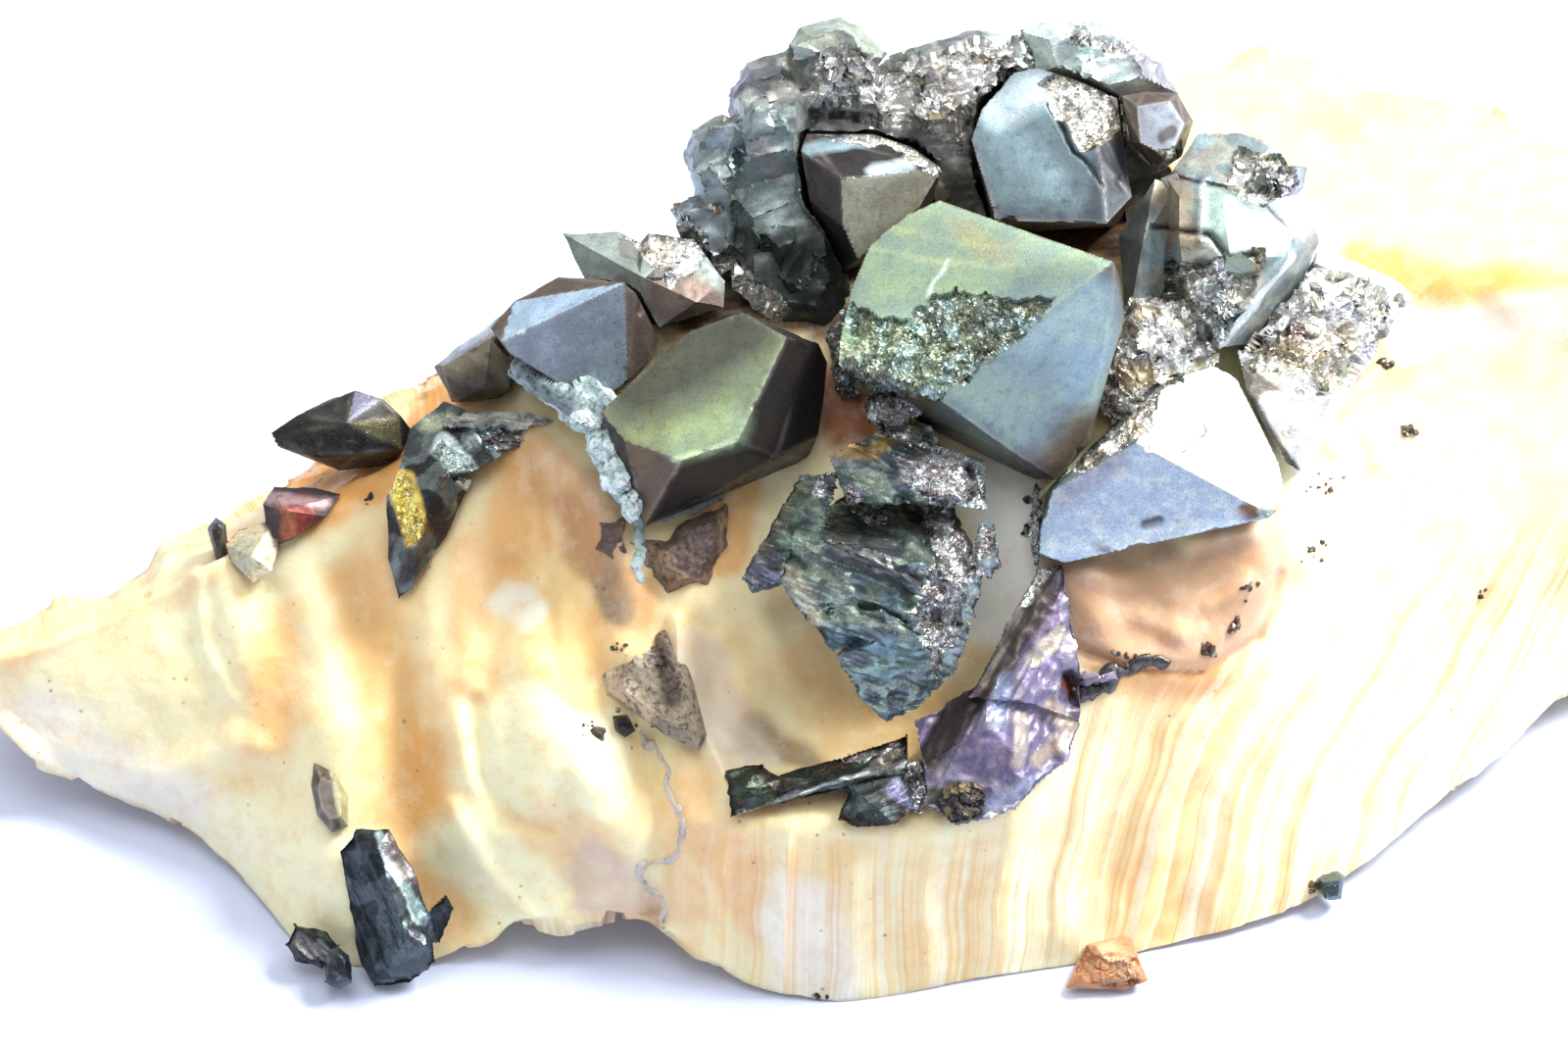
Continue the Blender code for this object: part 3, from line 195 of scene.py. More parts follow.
def make_piece(name, points, faces, finish, nodes=(), masks=None, sharp=None):
    """A mesh object from points in mm, riding on the specimen. `sharp` is the angle in degrees
    past which an edge stays crisp."""
    mesh = bpy.data.meshes.new(name)
    faces = faces if isinstance(faces, list) else faces.tolist()
    mesh.from_pydata((points * MM).tolist(), [], faces)
    mesh.shade_smooth()
    if sharp is not None:
        mesh.set_sharp_from_angle(angle=math.radians(sharp))
    for key, values in (masks or {}).items():
        if values.ndim == 2:
            layer = mesh.attributes.new(key, "FLOAT_COLOR", "POINT")
            rgba = np.column_stack([values, np.ones(len(values))])
            layer.data.foreach_set("color", rgba.ravel().astype(np.float32))
        else:
            layer = mesh.attributes.new(key, "FLOAT", "POINT")
            layer.data.foreach_set("value", values.astype(np.float32))
    mesh.materials.append(finish)
    mesh.update()
    obj = bpy.data.objects.new(name, mesh)
    bpy.context.scene.collection.objects.link(obj)
    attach(obj, "root")
    if nodes:
        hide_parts(*nodes)
    print(f"{name}: {len(points)} points, {sum(len(f) - 2 for f in faces)} triangles")
    return obj


# %% [markdown]
# ## Colours that change over the surface
# A shader group is a small machine with named sockets. The groups here give colours, masks and
# heights, and each material feeds them with its own values. Places come from Object coordinates
# in metres, so the first node of each group turns them into millimetres.

# %% Helpers for shader trees


class Tree:
    """A shader tree under construction."""

    def __init__(self, tree):
        self.tree = tree

    def add(self, kind, inputs=None, **settings):
        """A node with its settings, and its inputs joined to sockets or set to values."""
        node = self.tree.nodes.new(kind)
        for key, value in settings.items():
            setattr(node, key, value)
        for key, value in (inputs or {}).items():
            target = node.inputs[key]
            if isinstance(value, bpy.types.NodeSocket):
                self.tree.links.new(value, target)
            else:
                target.default_value = value
        return node

    def math(self, operation, a, b=0.0, clamp=False):
        node = self.add("ShaderNodeMath", {0: a, 1: b}, operation=operation, use_clamp=clamp)
        return node.outputs[0]

    def mix(self, share, a, b, blend="MIX"):
        """One colour over another."""
        node = self.add("ShaderNodeMix", data_type="RGBA", blend_type=blend, clamp_factor=True)
        for index, value in ((0, share), (6, a), (7, b)):
            if isinstance(value, bpy.types.NodeSocket):
                self.tree.links.new(value, node.inputs[index])
            else:
                node.inputs[index].default_value = value
        return node.outputs[2]

    def between(self, value, low, high, to_low=0.0, to_high=1.0):
        """A value between low and high, spread from to_low to to_high and held there."""
        node = self.add("ShaderNodeMapRange", {0: value, 1: low, 2: high, 3: to_low, 4: to_high})
        return node.outputs[0]

    def attribute(self, name, output="Fac"):
        return self.add("ShaderNodeAttribute", attribute_name=name).outputs[output]


def new_group(name, inputs, outputs):
    """An empty group with its sockets: name and kind, and a first value for each input."""
    group = bpy.data.node_groups.new(name, "ShaderNodeTree")
    kinds = {"colour": "NodeSocketColor", "number": "NodeSocketFloat", "vector": "NodeSocketVector"}
    for key, kind, value in inputs:
        made = group.interface.new_socket(key, in_out="INPUT", socket_type=kinds[kind])
        made.default_value = value
    for key, kind in outputs:
        group.interface.new_socket(key, in_out="OUTPUT", socket_type=kinds[kind])
    tree = Tree(group)
    return tree, tree.add("NodeGroupInput").outputs, tree.add("NodeGroupOutput").inputs


def in_mm(tree, turn=(0, 0, 0), stretch=(1, 1, 1)):
    """Object coordinates in millimetres, turned and stretched."""
    place = tree.add("ShaderNodeTexCoord").outputs["Object"]
    scale = tuple(1000 * s for s in stretch)
    mapped = tree.add("ShaderNodeMapping", {"Vector": place, "Rotation": turn, "Scale": scale})
    return mapped.outputs[0]


def noise(tree, vector, scale, detail=3.0, rough=0.55):
    return tree.add("ShaderNodeTexNoise", {"Vector": vector, "Scale": scale, "Detail": detail, "Roughness": rough})


# %% [markdown]
# ## Tarnish
# Pyrite is brassy when it breaks. In air its faces grow a film a few hundred atoms thick, which
# shows as olive, steel blue or purple, and it is thicker in some places than in others. Each skin
# carries the film's main colour as an attribute, so one recipe serves every crystal. The group
# makes it uneven: lighter and darker clouds, growth lines drawn by a noise that is stretched along
# one direction, and tiny pits. A picture of it would slide over the form.

# %% Tarnish group


def tarnish_group():
    """Film colour, roughness and height. Lift and Sink multiply the film in its clouds."""
    tree, take, give = new_group("tarnish film", [
        ("Film", "colour", (0.2, 0.2, 0.2, 1)), ("Lift", "colour", (1.4, 1.4, 1.45, 1)),
        ("Sink", "colour", (0.6, 0.6, 0.62, 1)), ("Patch", "number", 0.3),
        ("Lines", "number", 0.4), ("Gloss", "number", 0.3), ("Pits", "number", 0.5)],
        [("Color", "colour"), ("Roughness", "number"), ("Height", "number")])
    place = in_mm(tree)
    cloud = noise(tree, place, take["Patch"], 4.0).outputs[0]
    veil = noise(tree, place, 1.3, 5.0, 0.65).outputs[0]
    grown = noise(tree, in_mm(tree, (0.3, 0.5, 0.9), (0.25, 4.0, 4.0)), 0.8, 5.0, 0.6).outputs[0]
    speck = noise(tree, place, 9.0, 2.0, 0.7).outputs[0]
    lifted = tree.mix(1.0, take["Film"], take["Lift"], "MULTIPLY")
    sunk = tree.mix(1.0, take["Film"], take["Sink"], "MULTIPLY")
    film = tree.mix(tree.between(cloud, 0.45, 0.62), take["Film"], lifted)
    film = tree.mix(tree.between(veil, 0.52, 0.72), film, sunk)
    lines = tree.math("MULTIPLY", tree.between(grown, 0.3, 0.7, -1.0, 1.0), take["Lines"])
    shade = tree.math("ADD", tree.math("MULTIPLY", lines, 0.35), 1.0)
    shade = tree.math("MULTIPLY", shade, tree.between(speck, 0.3, 0.6, 0.72, 1.12))
    bright = tree.add("ShaderNodeCombineColor", {0: shade, 1: shade, 2: shade}).outputs[0]
    tree.tree.links.new(tree.mix(1.0, film, bright, "MULTIPLY"), give["Color"])
    gloss = tree.math("ADD", take["Gloss"], tree.between(veil, 0.3, 0.75, -0.08, 0.16))
    gloss = tree.math("ADD", gloss, tree.between(speck, 0.4, 0.8, 0.0, 0.2))
    tree.tree.links.new(gloss, give["Roughness"])
    pit = tree.between(noise(tree, place, 3.2, 3.0, 0.75).outputs[0], 0.56, 0.72)
    height = tree.math("SUBTRACT", tree.math("MULTIPLY", lines, 0.25), tree.math("MULTIPLY", pit, take["Pits"]))
    tree.tree.links.new(tree.math("ADD", height, tree.math("MULTIPLY", speck, 0.25)), give["Height"])
    return tree.tree


def flakes(tree, place, scale):
    """Cells that stand for flat flakes: random numbers, the height of a tilted plane in each, and
    how near the border is."""
    cell = tree.add("ShaderNodeTexVoronoi", {"Vector": place, "Scale": scale})
    border = tree.add("ShaderNodeTexVoronoi", {"Vector": place, "Scale": scale}, feature="DISTANCE_TO_EDGE")
    parted = tree.add("ShaderNodeSeparateColor", {0: cell.outputs["Color"]}).outputs
    away = tree.add("ShaderNodeVectorMath", {0: place, 1: cell.outputs["Position"]}, operation="SUBTRACT").outputs[0]
    tilt = tree.add("ShaderNodeVectorMath", {0: cell.outputs["Color"], 1: (0.5, 0.5, 0.5)},
                    operation="SUBTRACT").outputs[0]
    height = tree.add("ShaderNodeVectorMath", {0: away, 1: tilt}, operation="DOT_PRODUCT").outputs[1]
    return parted, height, tree.between(border.outputs[0], 0.0, 0.09, 1.0, 0.0)


def fracture_group():
    """Bright broken metal in flakes of two sizes: each has its own tilt, brightness and gloss. The
    cracks between them are darkened as painted shade, and dark clouds of dirt lie over it."""
    tree, take, give = new_group("fresh fracture", [
        ("Dark", "colour", (0.05, 0.045, 0.035, 1)), ("Gold", "colour", (0.55, 0.42, 0.24, 1)),
        ("Silver", "colour", (0.85, 0.85, 0.82, 1)), ("Facets", "number", 1.6), ("Shine", "number", 0.5)],
        [("Color", "colour"), ("Roughness", "number"), ("Height", "number")])
    place = in_mm(tree)
    bend = noise(tree, place, 1.2, 3.0)
    push = tree.add("ShaderNodeVectorMath", {0: bend.outputs[1], 3: 1.1}, operation="SCALE").outputs[0]
    bent = tree.add("ShaderNodeVectorMath", {0: place, 1: push}, operation="ADD").outputs[0]
    large, large_height, large_crack = flakes(tree, bent, take["Facets"])
    small, small_height, small_crack = flakes(tree, bent, tree.math("MULTIPLY", take["Facets"], 2.7))
    cloud = noise(tree, place, 0.6, 4.0, 0.6).outputs[0]
    warm = tree.math("ADD", tree.math("MULTIPLY", large[0], 0.5), tree.math("MULTIPLY", cloud, 1.0))
    ramp = tree.mix(tree.between(warm, 0.55, 0.95), take["Silver"], take["Gold"])
    shade = tree.math("MULTIPLY", tree.between(large[1], 0, 1, 0.6, 1.3), tree.between(small[1], 0, 1, 0.75, 1.25))
    bright = tree.add("ShaderNodeCombineColor", {0: shade, 1: shade, 2: shade}).outputs[0]
    ramp = tree.mix(1.0, ramp, bright, "MULTIPLY")
    # Painted shade in the cracks between flakes, then dark clouds of dirt.
    crack_shade_and_dirt = tree.math("ADD", tree.math("MULTIPLY", large_crack, 0.4), tree.math("MULTIPLY", small_crack, 0.12),
                     clamp=True)
    crack_shade_and_dirt = tree.math("ADD", crack_shade_and_dirt, tree.between(cloud, 0.42, 0.28, 0.0, 0.7), clamp=True)
    ramp = tree.mix(crack_shade_and_dirt, ramp, take["Dark"])
    tree.tree.links.new(ramp, give["Color"])
    dull = tree.between(small[2], 0, 1, 0.6, 0.9)
    tree.tree.links.new(tree.math("SUBTRACT", dull, take["Shine"], clamp=True), give["Roughness"])
    height = tree.math("ADD", large_height, tree.math("MULTIPLY", small_height, 0.9))
    height = tree.math("SUBTRACT", height, tree.math("MULTIPLY", large_crack, 0.12))
    tree.tree.links.new(height, give["Height"])
    return tree.tree


TARNISH, FRACTURE = tarnish_group(), fracture_group()
print("groups:", TARNISH.name, "and", FRACTURE.name)

# %% [markdown]
# ## Pyrite finishes
# One recipe makes all the metal: tarnish where a face grew, fracture where the `broken` mask says
# that it broke, and a lighter brass line along the edges where the `edge` mask lies: partly rubbed
# tarnish, partly a painted edge highlight. Only the gloss, the pits and the strength of each differ.
# Broken metal is a full mirror, so what it shows is the room: that is why the lights matter as much as the colours. A
# film is partly matte.

# %% Recipe for metal


def metal(name, lift=(1.4, 1.4, 1.45), sink=(0.6, 0.6, 0.62), patch=0.3, lines=0.4, gloss=0.32, pits=0.4,
          facets=1.6, shine=0.45, gold=(0.80, 0.74, 0.62), silver=(0.92, 0.96, 0.96),
          dark=(0.06, 0.052, 0.042), rub_and_glint=0.3, matte=0.25, tint=0.0):
    made = bpy.data.materials.new(name)
    made.use_nodes = True
    tree = Tree(made.node_tree)
    shader = made.node_tree.nodes["Principled BSDF"]
    film = tree.add("ShaderNodeGroup", node_tree=TARNISH)
    broken = tree.add("ShaderNodeGroup", node_tree=FRACTURE)
    tree.tree.links.new(tree.attribute("film", "Color"), film.inputs["Film"])
    for group, values in ((film, {"Lift": lift, "Sink": sink, "Patch": patch,
                                  "Lines": lines, "Gloss": gloss, "Pits": pits}),
                          (broken, {"Dark": dark, "Gold": gold, "Silver": silver, "Facets": facets, "Shine": shine})):
        for key, value in values.items():
            group.inputs[key].default_value = (*value, 1) if isinstance(value, tuple) else value
    share = tree.attribute("broken")
    facet = tree.between(tree.attribute("facet"), 0, 1, 0.7, 1.3)
    facet = tree.add("ShaderNodeCombineColor", {0: facet, 1: facet, 2: facet}).outputs[0]
    bright = tree.mix(1.0, broken.outputs["Color"], facet, "MULTIPLY")
    tinted = tree.mix(1.0, film.outputs["Color"], (1.6, 1.6, 1.6, 1), "MULTIPLY")
    bright = tree.mix(tint, bright, tree.mix(1.0, bright, tinted, "MULTIPLY"))
    colour = tree.mix(share, film.outputs["Color"], bright)
    # A lighter brass line along the edges: rubbed tarnish with a painted edge highlight.
    wear_and_glint = tree.math("MULTIPLY", tree.attribute("edge"), rub_and_glint)
    colour = tree.mix(wear_and_glint, colour, (0.6, 0.57, 0.5, 1))
    rough = tree.add("ShaderNodeMix", {0: share, 2: film.outputs["Roughness"], 3: broken.outputs["Roughness"]})
    high = tree.add("ShaderNodeMix", {0: share, 2: tree.math("MULTIPLY", film.outputs["Height"], 0.03),
                                      3: tree.math("MULTIPLY", broken.outputs["Height"], 0.3)})
    bump = tree.add("ShaderNodeBump", {"Height": high.outputs[0], "Strength": 1.0, "Distance": MM})
    links = made.node_tree.links
    links.new(colour, shader.inputs["Base Color"])
    links.new(rough.outputs[0], shader.inputs["Roughness"])
    links.new(bump.outputs[0], shader.inputs["Normal"])
    links.new(tree.between(share, 0, 1, 1 - matte, 0.72), shader.inputs["Metallic"])
    return made


FINISHES = {
    "brushed": metal("brushed tarnish", (1.25, 1.22, 0.95), (0.8, 0.84, 0.86), lines=0.16, gloss=0.32, pits=0.3,
                     facets=0.8, gold=(0.42, 0.44, 0.34), silver=(0.42, 0.53, 0.54), matte=0.4, tint=0.3),
    "satin": metal("satin tarnish", (1.3, 1.34, 1.34), (0.72, 0.7, 0.74), patch=0.5, lines=0.08, gloss=0.42, pits=0.5,
                   facets=0.8, matte=0.55),
    "clear": metal("clear break", (1.3, 1.34, 1.34), (0.72, 0.7, 0.74), patch=0.5, lines=0.08, gloss=0.4, pits=0.5,
                   facets=0.8, matte=0.5, tint=0.5),
    "mottled": metal("mottled tarnish", (1.35, 1.24, 1.06), (0.74, 0.72, 0.82), patch=1.1, lines=0.12, gloss=0.36,
                     facets=0.8, matte=0.45),
    "dark": metal("dark tarnish", (1.35, 1.45, 1.35), (0.6, 0.5, 0.6), patch=0.9, lines=0.25, gloss=0.27, pits=0.9,
                  facets=1.6, shine=0.5, gold=(0.42, 0.37, 0.36), silver=(0.68, 0.73, 0.73), matte=0.2),
    "glitter": metal("broken metal", (1.2, 1.2, 1.2), (0.7, 0.68, 0.66), patch=0.8, gloss=0.3, facets=0.6, shine=0.6,
                     gold=(0.94, 0.91, 0.84), silver=(0.98, 1.0, 1.0), dark=(0.2, 0.2, 0.19), matte=0.42),
    "cluster": metal("painted fracture", (1.2, 1.2, 1.2), (0.7, 0.68, 0.66), patch=0.8, gloss=0.3, facets=0.55,
                     shine=0.6, gold=(0.9, 0.86, 0.78), silver=(1.0, 1.0, 1.0), matte=0.42, tint=0.8),
    "golden": metal("gold tarnish", (1.35, 1.45, 1.35), (0.6, 0.5, 0.6), patch=0.9, lines=0.2, gloss=0.2, pits=0.7,
                    facets=1.2, shine=0.6, gold=(0.8, 0.78, 0.7), matte=0.15, tint=0.9),
    "spark": metal("sparks", (1.1, 1.1, 1.1), (0.85, 0.84, 0.8), lines=0.1, gloss=0.18, pits=0.2, matte=0.3),
    "oxide": metal("iron oxide", (1.5, 1.2, 1.1), (0.5, 0.5, 0.5), gloss=0.4, matte=0.6),
}
print("metals:", ", ".join(FINISHES))

# %% [markdown]
# ## The calcite's skin
# The host is one broken block of calcite. Its skin is a loft: nine lines run along it from left to
# right, a cross section at any place passes through all nine, and points in between are eased. The
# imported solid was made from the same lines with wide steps. Here the steps are a quarter of a
# millimetre, so the swells, the ribs and the fine stripes of the front wall are real geometry.

# %% Lines along the block, as (x, y, z) from the foot of the middle of the view
LEFT_END, RIGHT_END, STATIONS = -55.0, 62.0, 420
BASE_BACK = [(-55, 1.5, 8), (-49, 6, 2.5), (-43, 10, 0.6), (-36, 15, 0), (-30, 19, 0), (-17, 26, 0),
             (-3, 31, 0), (12, 34, 0), (33, 36, 0), (47, 31, 0), (54, 28, 0), (62, 23, 2.5)]
BASE_FRONT = [(-55, -0.4, 8), (-49, -2, 2.5), (-43, -4, 0.6), (-36, -10, 0), (-30, -17, 0),
              (-24, -18, 0), (-17, -11, 0), (-10, -10, 0), (-3, -18.5, 0), (4, -21, 0),
              (19, -18, 0), (26, -15.5, 0), (33, -12, 0), (40, -6, 0), (47, 1, 0), (54, 7, 0),
              (62, 12, 2.5)]
FOOT = [(-55, -0.8, 8.2), (-51, -4.2, 5.5), (-48, -5, 3.4), (-43, -6.6, 2.2), (-39.5, -8.8, 1.8),
        (-36, -12.6, 0.8), (-32.5, -17.5, 0.2),
        (-24, -19.6, 0.2), (-17, -18.8, 3), (-10, -19.2, 4), (-3, -21.8, 1), (2, -22.8, 0.2),
        (13, -20.8, 0.2), (24, -18.3, 0.3), (33, -15.6, 1), (40, -11.2, 1.5), (47, -4.2, 2),
        (54, 2.8, 3), (62, 8.5, 5)]
BROW = [(-55, -1, 8.8), (-49, -4.2, 5.5), (-43, -6.2, 5), (-36, -11, 5), (-30, -16.5, 6),
        (-24, -17, 8), (-17, -16.5, 9.5), (-10, -17.5, 10.5), (-5, -18.6, 12.4), (4, -19.7, 13),
        (12, -19.5, 13.6), (15.5, -18.2, 14.3), (19, -13.6, 16.6), (26, -10, 18.4),
        (33, -7, 17), (40, -4, 12.5), (47, 1, 13), (54, 5.5, 14), (62, 9.5, 15)]
HOLLOW = [(-55, -0.9, 9.1), (-49, -2.5, 9), (-43, -3.5, 10), (-36, -5, 11.5), (-30, -7.5, 14),
          (-24, -8.5, 16), (-17, -9, 17.5), (-10, -10, 18.2), (-5, -12, 16.4), (0, -12.4, 15),
          (4, -12, 15), (12, -11, 16), (19, -9.5, 20), (26, -7, 22), (33, -3, 24),
          (40, 2, 22), (47, 6, 23.5), (54, 8.5, 24), (62, 11, 24)]
CREST = [(-55, -0.6, 9.4), (-49, -1, 12), (-43, 0.4, 14.4), (-36, 2.3, 18), (-30, 5, 20.4),
         (-24, 6, 23.5), (-17, 4, 26), (-10, 1, 26.5), (-3, -1.5, 26), (4, -2.2, 26.3),
         (12, -2.6, 26.5), (19, -3.2, 27), (26, -2, 28), (33, 2, 28.5), (40, 6.4, 29.4),
         (44, 9, 32), (47, 10, 32.9), (54, 10.8, 33), (62, 13, 32.4)]
SHOULDER = [(-55, 0.4, 9.3), (-49, 1, 11.8), (-43, 2.6, 14), (-36, 5.5, 17.3), (-30, 8, 19.6),
            (-24, 9.5, 22.8), (-20, 9, 26), (-16, 8, 29.6), (-10, 8, 32), (-3, 8, 33.2), (4, 8, 34),
            (19, 8, 34), (26, 9, 33.4), (33, 12, 32.4), (40, 15, 32.2), (47, 18, 33), (54, 17, 33.2),
            (62, 18, 32.4)]
TOP_BACK = [(-55, 1.5, 9.2), (-49, 3, 11), (-43, 5, 13), (-36, 9, 16), (-30, 12, 18.5),
            (-24, 15, 21), (-17, 18, 24), (-10, 21, 27), (-3, 24, 29), (4, 26, 30.5),
            (12, 29, 31.5), (19, 32, 32.5), (26, 34.5, 33.4), (33, 36, 34), (40, 33.5, 34),
            (47, 30.5, 33.4), (54, 26.6, 33), (62, 23.5, 32.2)]
BACK_WALL = [(-55, 2.5, 8.6), (-49, 7, 6), (-43, 11, 7), (-36, 16, 8), (-30, 20, 10),
             (-17, 27, 13), (-3, 32.5, 16), (12, 36, 18), (26, 39, 19.5), (33, 39.5, 19),
             (40, 37.5, 20), (47, 34.5, 20), (54, 31, 20), (62, 27, 20)]
# Each line with the number of steps from it to the next one round the section.
SECTION = [(BASE_BACK, 8), (BASE_FRONT, 4), (FOOT, 48), (BROW, 40), (HOLLOW, 40), (CREST, 14),
           (SHOULDER, 32), (TOP_BACK, 22), (BACK_WALL, 20)]


def along(line, x):
    """A smooth curve through the line's points, read at each x: y and z. Between two points it is
    the cubic that keeps the slope at both."""
    line = np.array(line, float)
    at = np.clip(np.searchsorted(line[:, 0], x, side="right") - 1, 0, len(line) - 2)
    slopes = np.gradient(line[:, 1:], line[:, 0], axis=0)
    span = line[at + 1, 0] - line[at, 0]
    t = ((x - line[at, 0]) / span)[:, None]
    span = span[:, None]
    return (
        line[at, 1:] * (1 + 2 * t) * (1 - t) ** 2
        + slopes[at] * span * t * (1 - t) ** 2
        + line[at + 1, 1:] * t ** 2 * (3 - 2 * t)
        - slopes[at + 1] * span * t ** 2 * (1 - t)
    )


def calcite_loft():
    """Grid of points, STATIONS sections of 228 points: straight steps from line to line, then
    rounded over about a millimetre where one line's creases would be too sharp."""
    x = np.linspace(LEFT_END, RIGHT_END, STATIONS)
    rows = []
    for (line, steps), (following, _) in zip(SECTION, SECTION[1:] + SECTION[:1]):
        here, there = along(line, x), along(following, x)
        rows += [here + (there - here) * step / steps for step in range(steps)]
    section = np.array(rows).transpose(1, 0, 2)
    softened = sum(np.roll(section, k, axis=1) for k in range(-3, 4)) / 7
    above = np.clip(section[..., 1:] / 2 - 0.2, 0, 1)
    section = section + (softened - section) * above
    across = np.repeat(x[:, None, None], section.shape[1], axis=1)
    grid = np.concatenate([across, section], axis=2)
    grid[..., 2] = np.maximum(grid[..., 2], 0)
    return grid + np.array([VIEW_CENTRE[0], VIEW_CENTRE[1], 0.0])


loft = calcite_loft()
print("loft of", loft.shape[0], "by", loft.shape[1], "points")

# %% [markdown]
# ## Swells, ribs and stripes
# The front was dissolved before the pyrite grew: it has bulges and valleys with soft borders, one
# bulge with a sharp lower border, and ribs that run down the wall at the right like the edge of a
# thick book. Each form is a line in the picture, the distance over which it fades, and its height
# towards the eye. Sculpting by hand would do as well, but these lines can be read and changed.

# %% Relief of the calcite
FORMS = [
    ([(-37, -3.7), (-35, -11), (-35, -14.6)], 1.6, 0.9),
    ([(-35, -14.6), (-45.6, -18.1)], 1.4, 0.6),
    ([(-34, -5), (-32.6, -9), (-35, -13)], 1.5, -0.9),
    ([(-29, -4), (-25.5, -13), (-25, -20), (-22, -25)], 2.2, -1.6),
    ([(-30, -14), (-31, -21), (-28, -27)], 2.6, 1.0),
    ([(-22, 1), (-21.5, -8), (-20.5, -16)], 2.0, 0.8),
    ([(-18.5, -3), (-19.5, -10)], 1.2, -0.7),
    ([(-16.5, -10), (-15.5, -17)], 3.0, 2.0),
    ([(-12.6, -15), (-12.4, -19)], 2.2, 1.2),
    ([(-14.6, -18), (-14.4, -24)], 1.0, -0.9),
    ([(-16.5, 5), (-13, 2), (-10.6, -3), (-10.6, -8)], 1.8, 1.4),
    ([(-17.5, 1), (-17.8, -4)], 1.2, -0.8),
    ([(-9.2, -14), (-8.3, -21), (-8.6, -26)], 1.0, -1.3),
    ([(-3, -9), (2, -13), (7, -16)], 2.6, -1.0),
    ([(-5, -6), (-2, -15)], 1.6, 0.8),
    ([(18.6, -4), (22, -9), (28, -9), (32, -3)], 1.5, 0.9),
    ([(20, -1), (21.5, -6)], 1.4, 0.9),
    ([(25.5, -3), (26.5, -7)], 1.5, 0.9),
    ([(31, 0), (36, 7), (41, 12)], 1.6, 0.8),
    ([(40, 13), (46, 14)], 1.6, -1.2),
    # Finer forms that only the dense skin can hold
    ([(-17.0, -5.5), (-18.8, -6.2)], 1.3, -0.5),
    ([(-20.6, -12), (-20.0, -16.5), (-18.2, -19.4), (-15.8, -20.2)], 0.7, -0.8),
    ([(-13.2, -16.8), (-12.2, -17.6)], 1.2, 0.5),
    ([(-24, -2), (-23.4, -10), (-23.8, -15)], 0.9, 0.35),
    ([(-26.8, -8), (-27.2, -16)], 0.9, 0.3),
    ([(-6.6, -7.6), (-5.6, -12), (-3.6, -14.6)], 0.8, 0.6),
    ([(-1.6, -6.4), (-0.4, -9.4), (1.4, -12.6)], 1.0, 0.35),
    ([(-7.2, -6.6), (-7.0, -10.6), (-4.6, -15.4), (-3.6, -17.6)], 0.55, 1.0),
    ([(-5.2, -6.8), (-4.4, -11), (-1.6, -15.2)], 1.4, -0.7),
    ([(-4.4, 1.6), (-5.6, -3), (-6.8, -6)], 0.7, 0.5),
    ([(20.2, -3.4), (22.6, -3.8)], 0.8, 0.7),
    ([(23.6, -6.2), (26.2, -7.4)], 0.8, 0.6),
    ([(28.2, -5.4), (30.4, -4.2)], 0.8, 0.6),
    ([(27.2, -1.2), (30.6, -0.6)], 0.7, 0.5),
    ([(18.8, -8.2), (23, -9.6), (28, -9.9), (31.4, -7.6), (33, -3.4)], 0.35, -0.55),
    ([(34.8, 7.2), (36.8, 4.8)], 0.7, 0.5),
    ([(38.6, 6.2), (39.6, 3.8)], 0.6, 0.4),
    ([(-38.9, -3.6), (-38.4, -8.4), (-36.6, -11.6)], 0.5, 0.45),
    ([(-52, -9.4), (-46, -6.2), (-39, -3.2), (-34, 0)], 0.7, 0.5),
    ([(-31.4, 3.0), (-27, 1.4), (-24.6, -3)], 0.9, -0.5),
    ([(-16.9, 4.6), (-15.8, -2.6), (-15.4, -8)], 0.6, -0.45),
    ([(-22.2, -18.6), (-19.8, -23), (-16.4, -26.6)], 0.7, 0.5),
]
# Pleats of the wall: pitch along it and depth, in mm.
PLEATS = [(4.6, 0.45), (1.37, 0.12), (0.71, 0.045)]
PLEAT_LEFT, PLEAT_FADE = -8.0, 6.0
PLEAT_TOP, PLEAT_TOP_FADE, PLEAT_TALL = 14.0, 5.0, 18.0
FRONT_RELIEF, BACK_RELIEF, GROUND_FADE = 0.35, 0.9, 2.5


def loft_normals(grid):
    """The unit normal of the skin at each of its points, from its two tangents."""
    round_it = np.roll(grid, -1, axis=1) - np.roll(grid, 1, axis=1)
    normal = np.cross(np.gradient(grid, axis=0), round_it)
    return (normal / (np.linalg.norm(normal, axis=2, keepdims=True) + 1e-9)).reshape(-1, 3)


def stripe_place(points, uv):
    """Where each point lies across the stripes, in mm. They fan out: upright at the left, and
    leaning more and more to the right, and they are gently wavy."""
    lean = np.clip(0.03 + 0.0125 * (uv[:, 0] - 6), 0.02, 0.5)
    return uv[:, 0] - lean * (uv[:, 1] + 28) + 0.7 * soft(points, 9.0, 3) + 0.25 * soft(points, 3.0, 4)


def wall_share(points, uv, normal):
    """1 on the striped front wall, falling to 0 round it."""
    share = np.clip((uv[:, 0] - PLEAT_LEFT) / PLEAT_FADE, 0, 1)
    share *= np.clip((PLEAT_TOP - points[:, 2]) / PLEAT_TOP_FADE + (uv[:, 0] > PLEAT_TALL), 0, 1)
    return share * np.clip(normal[:, 1] * -2.5, 0, 1)


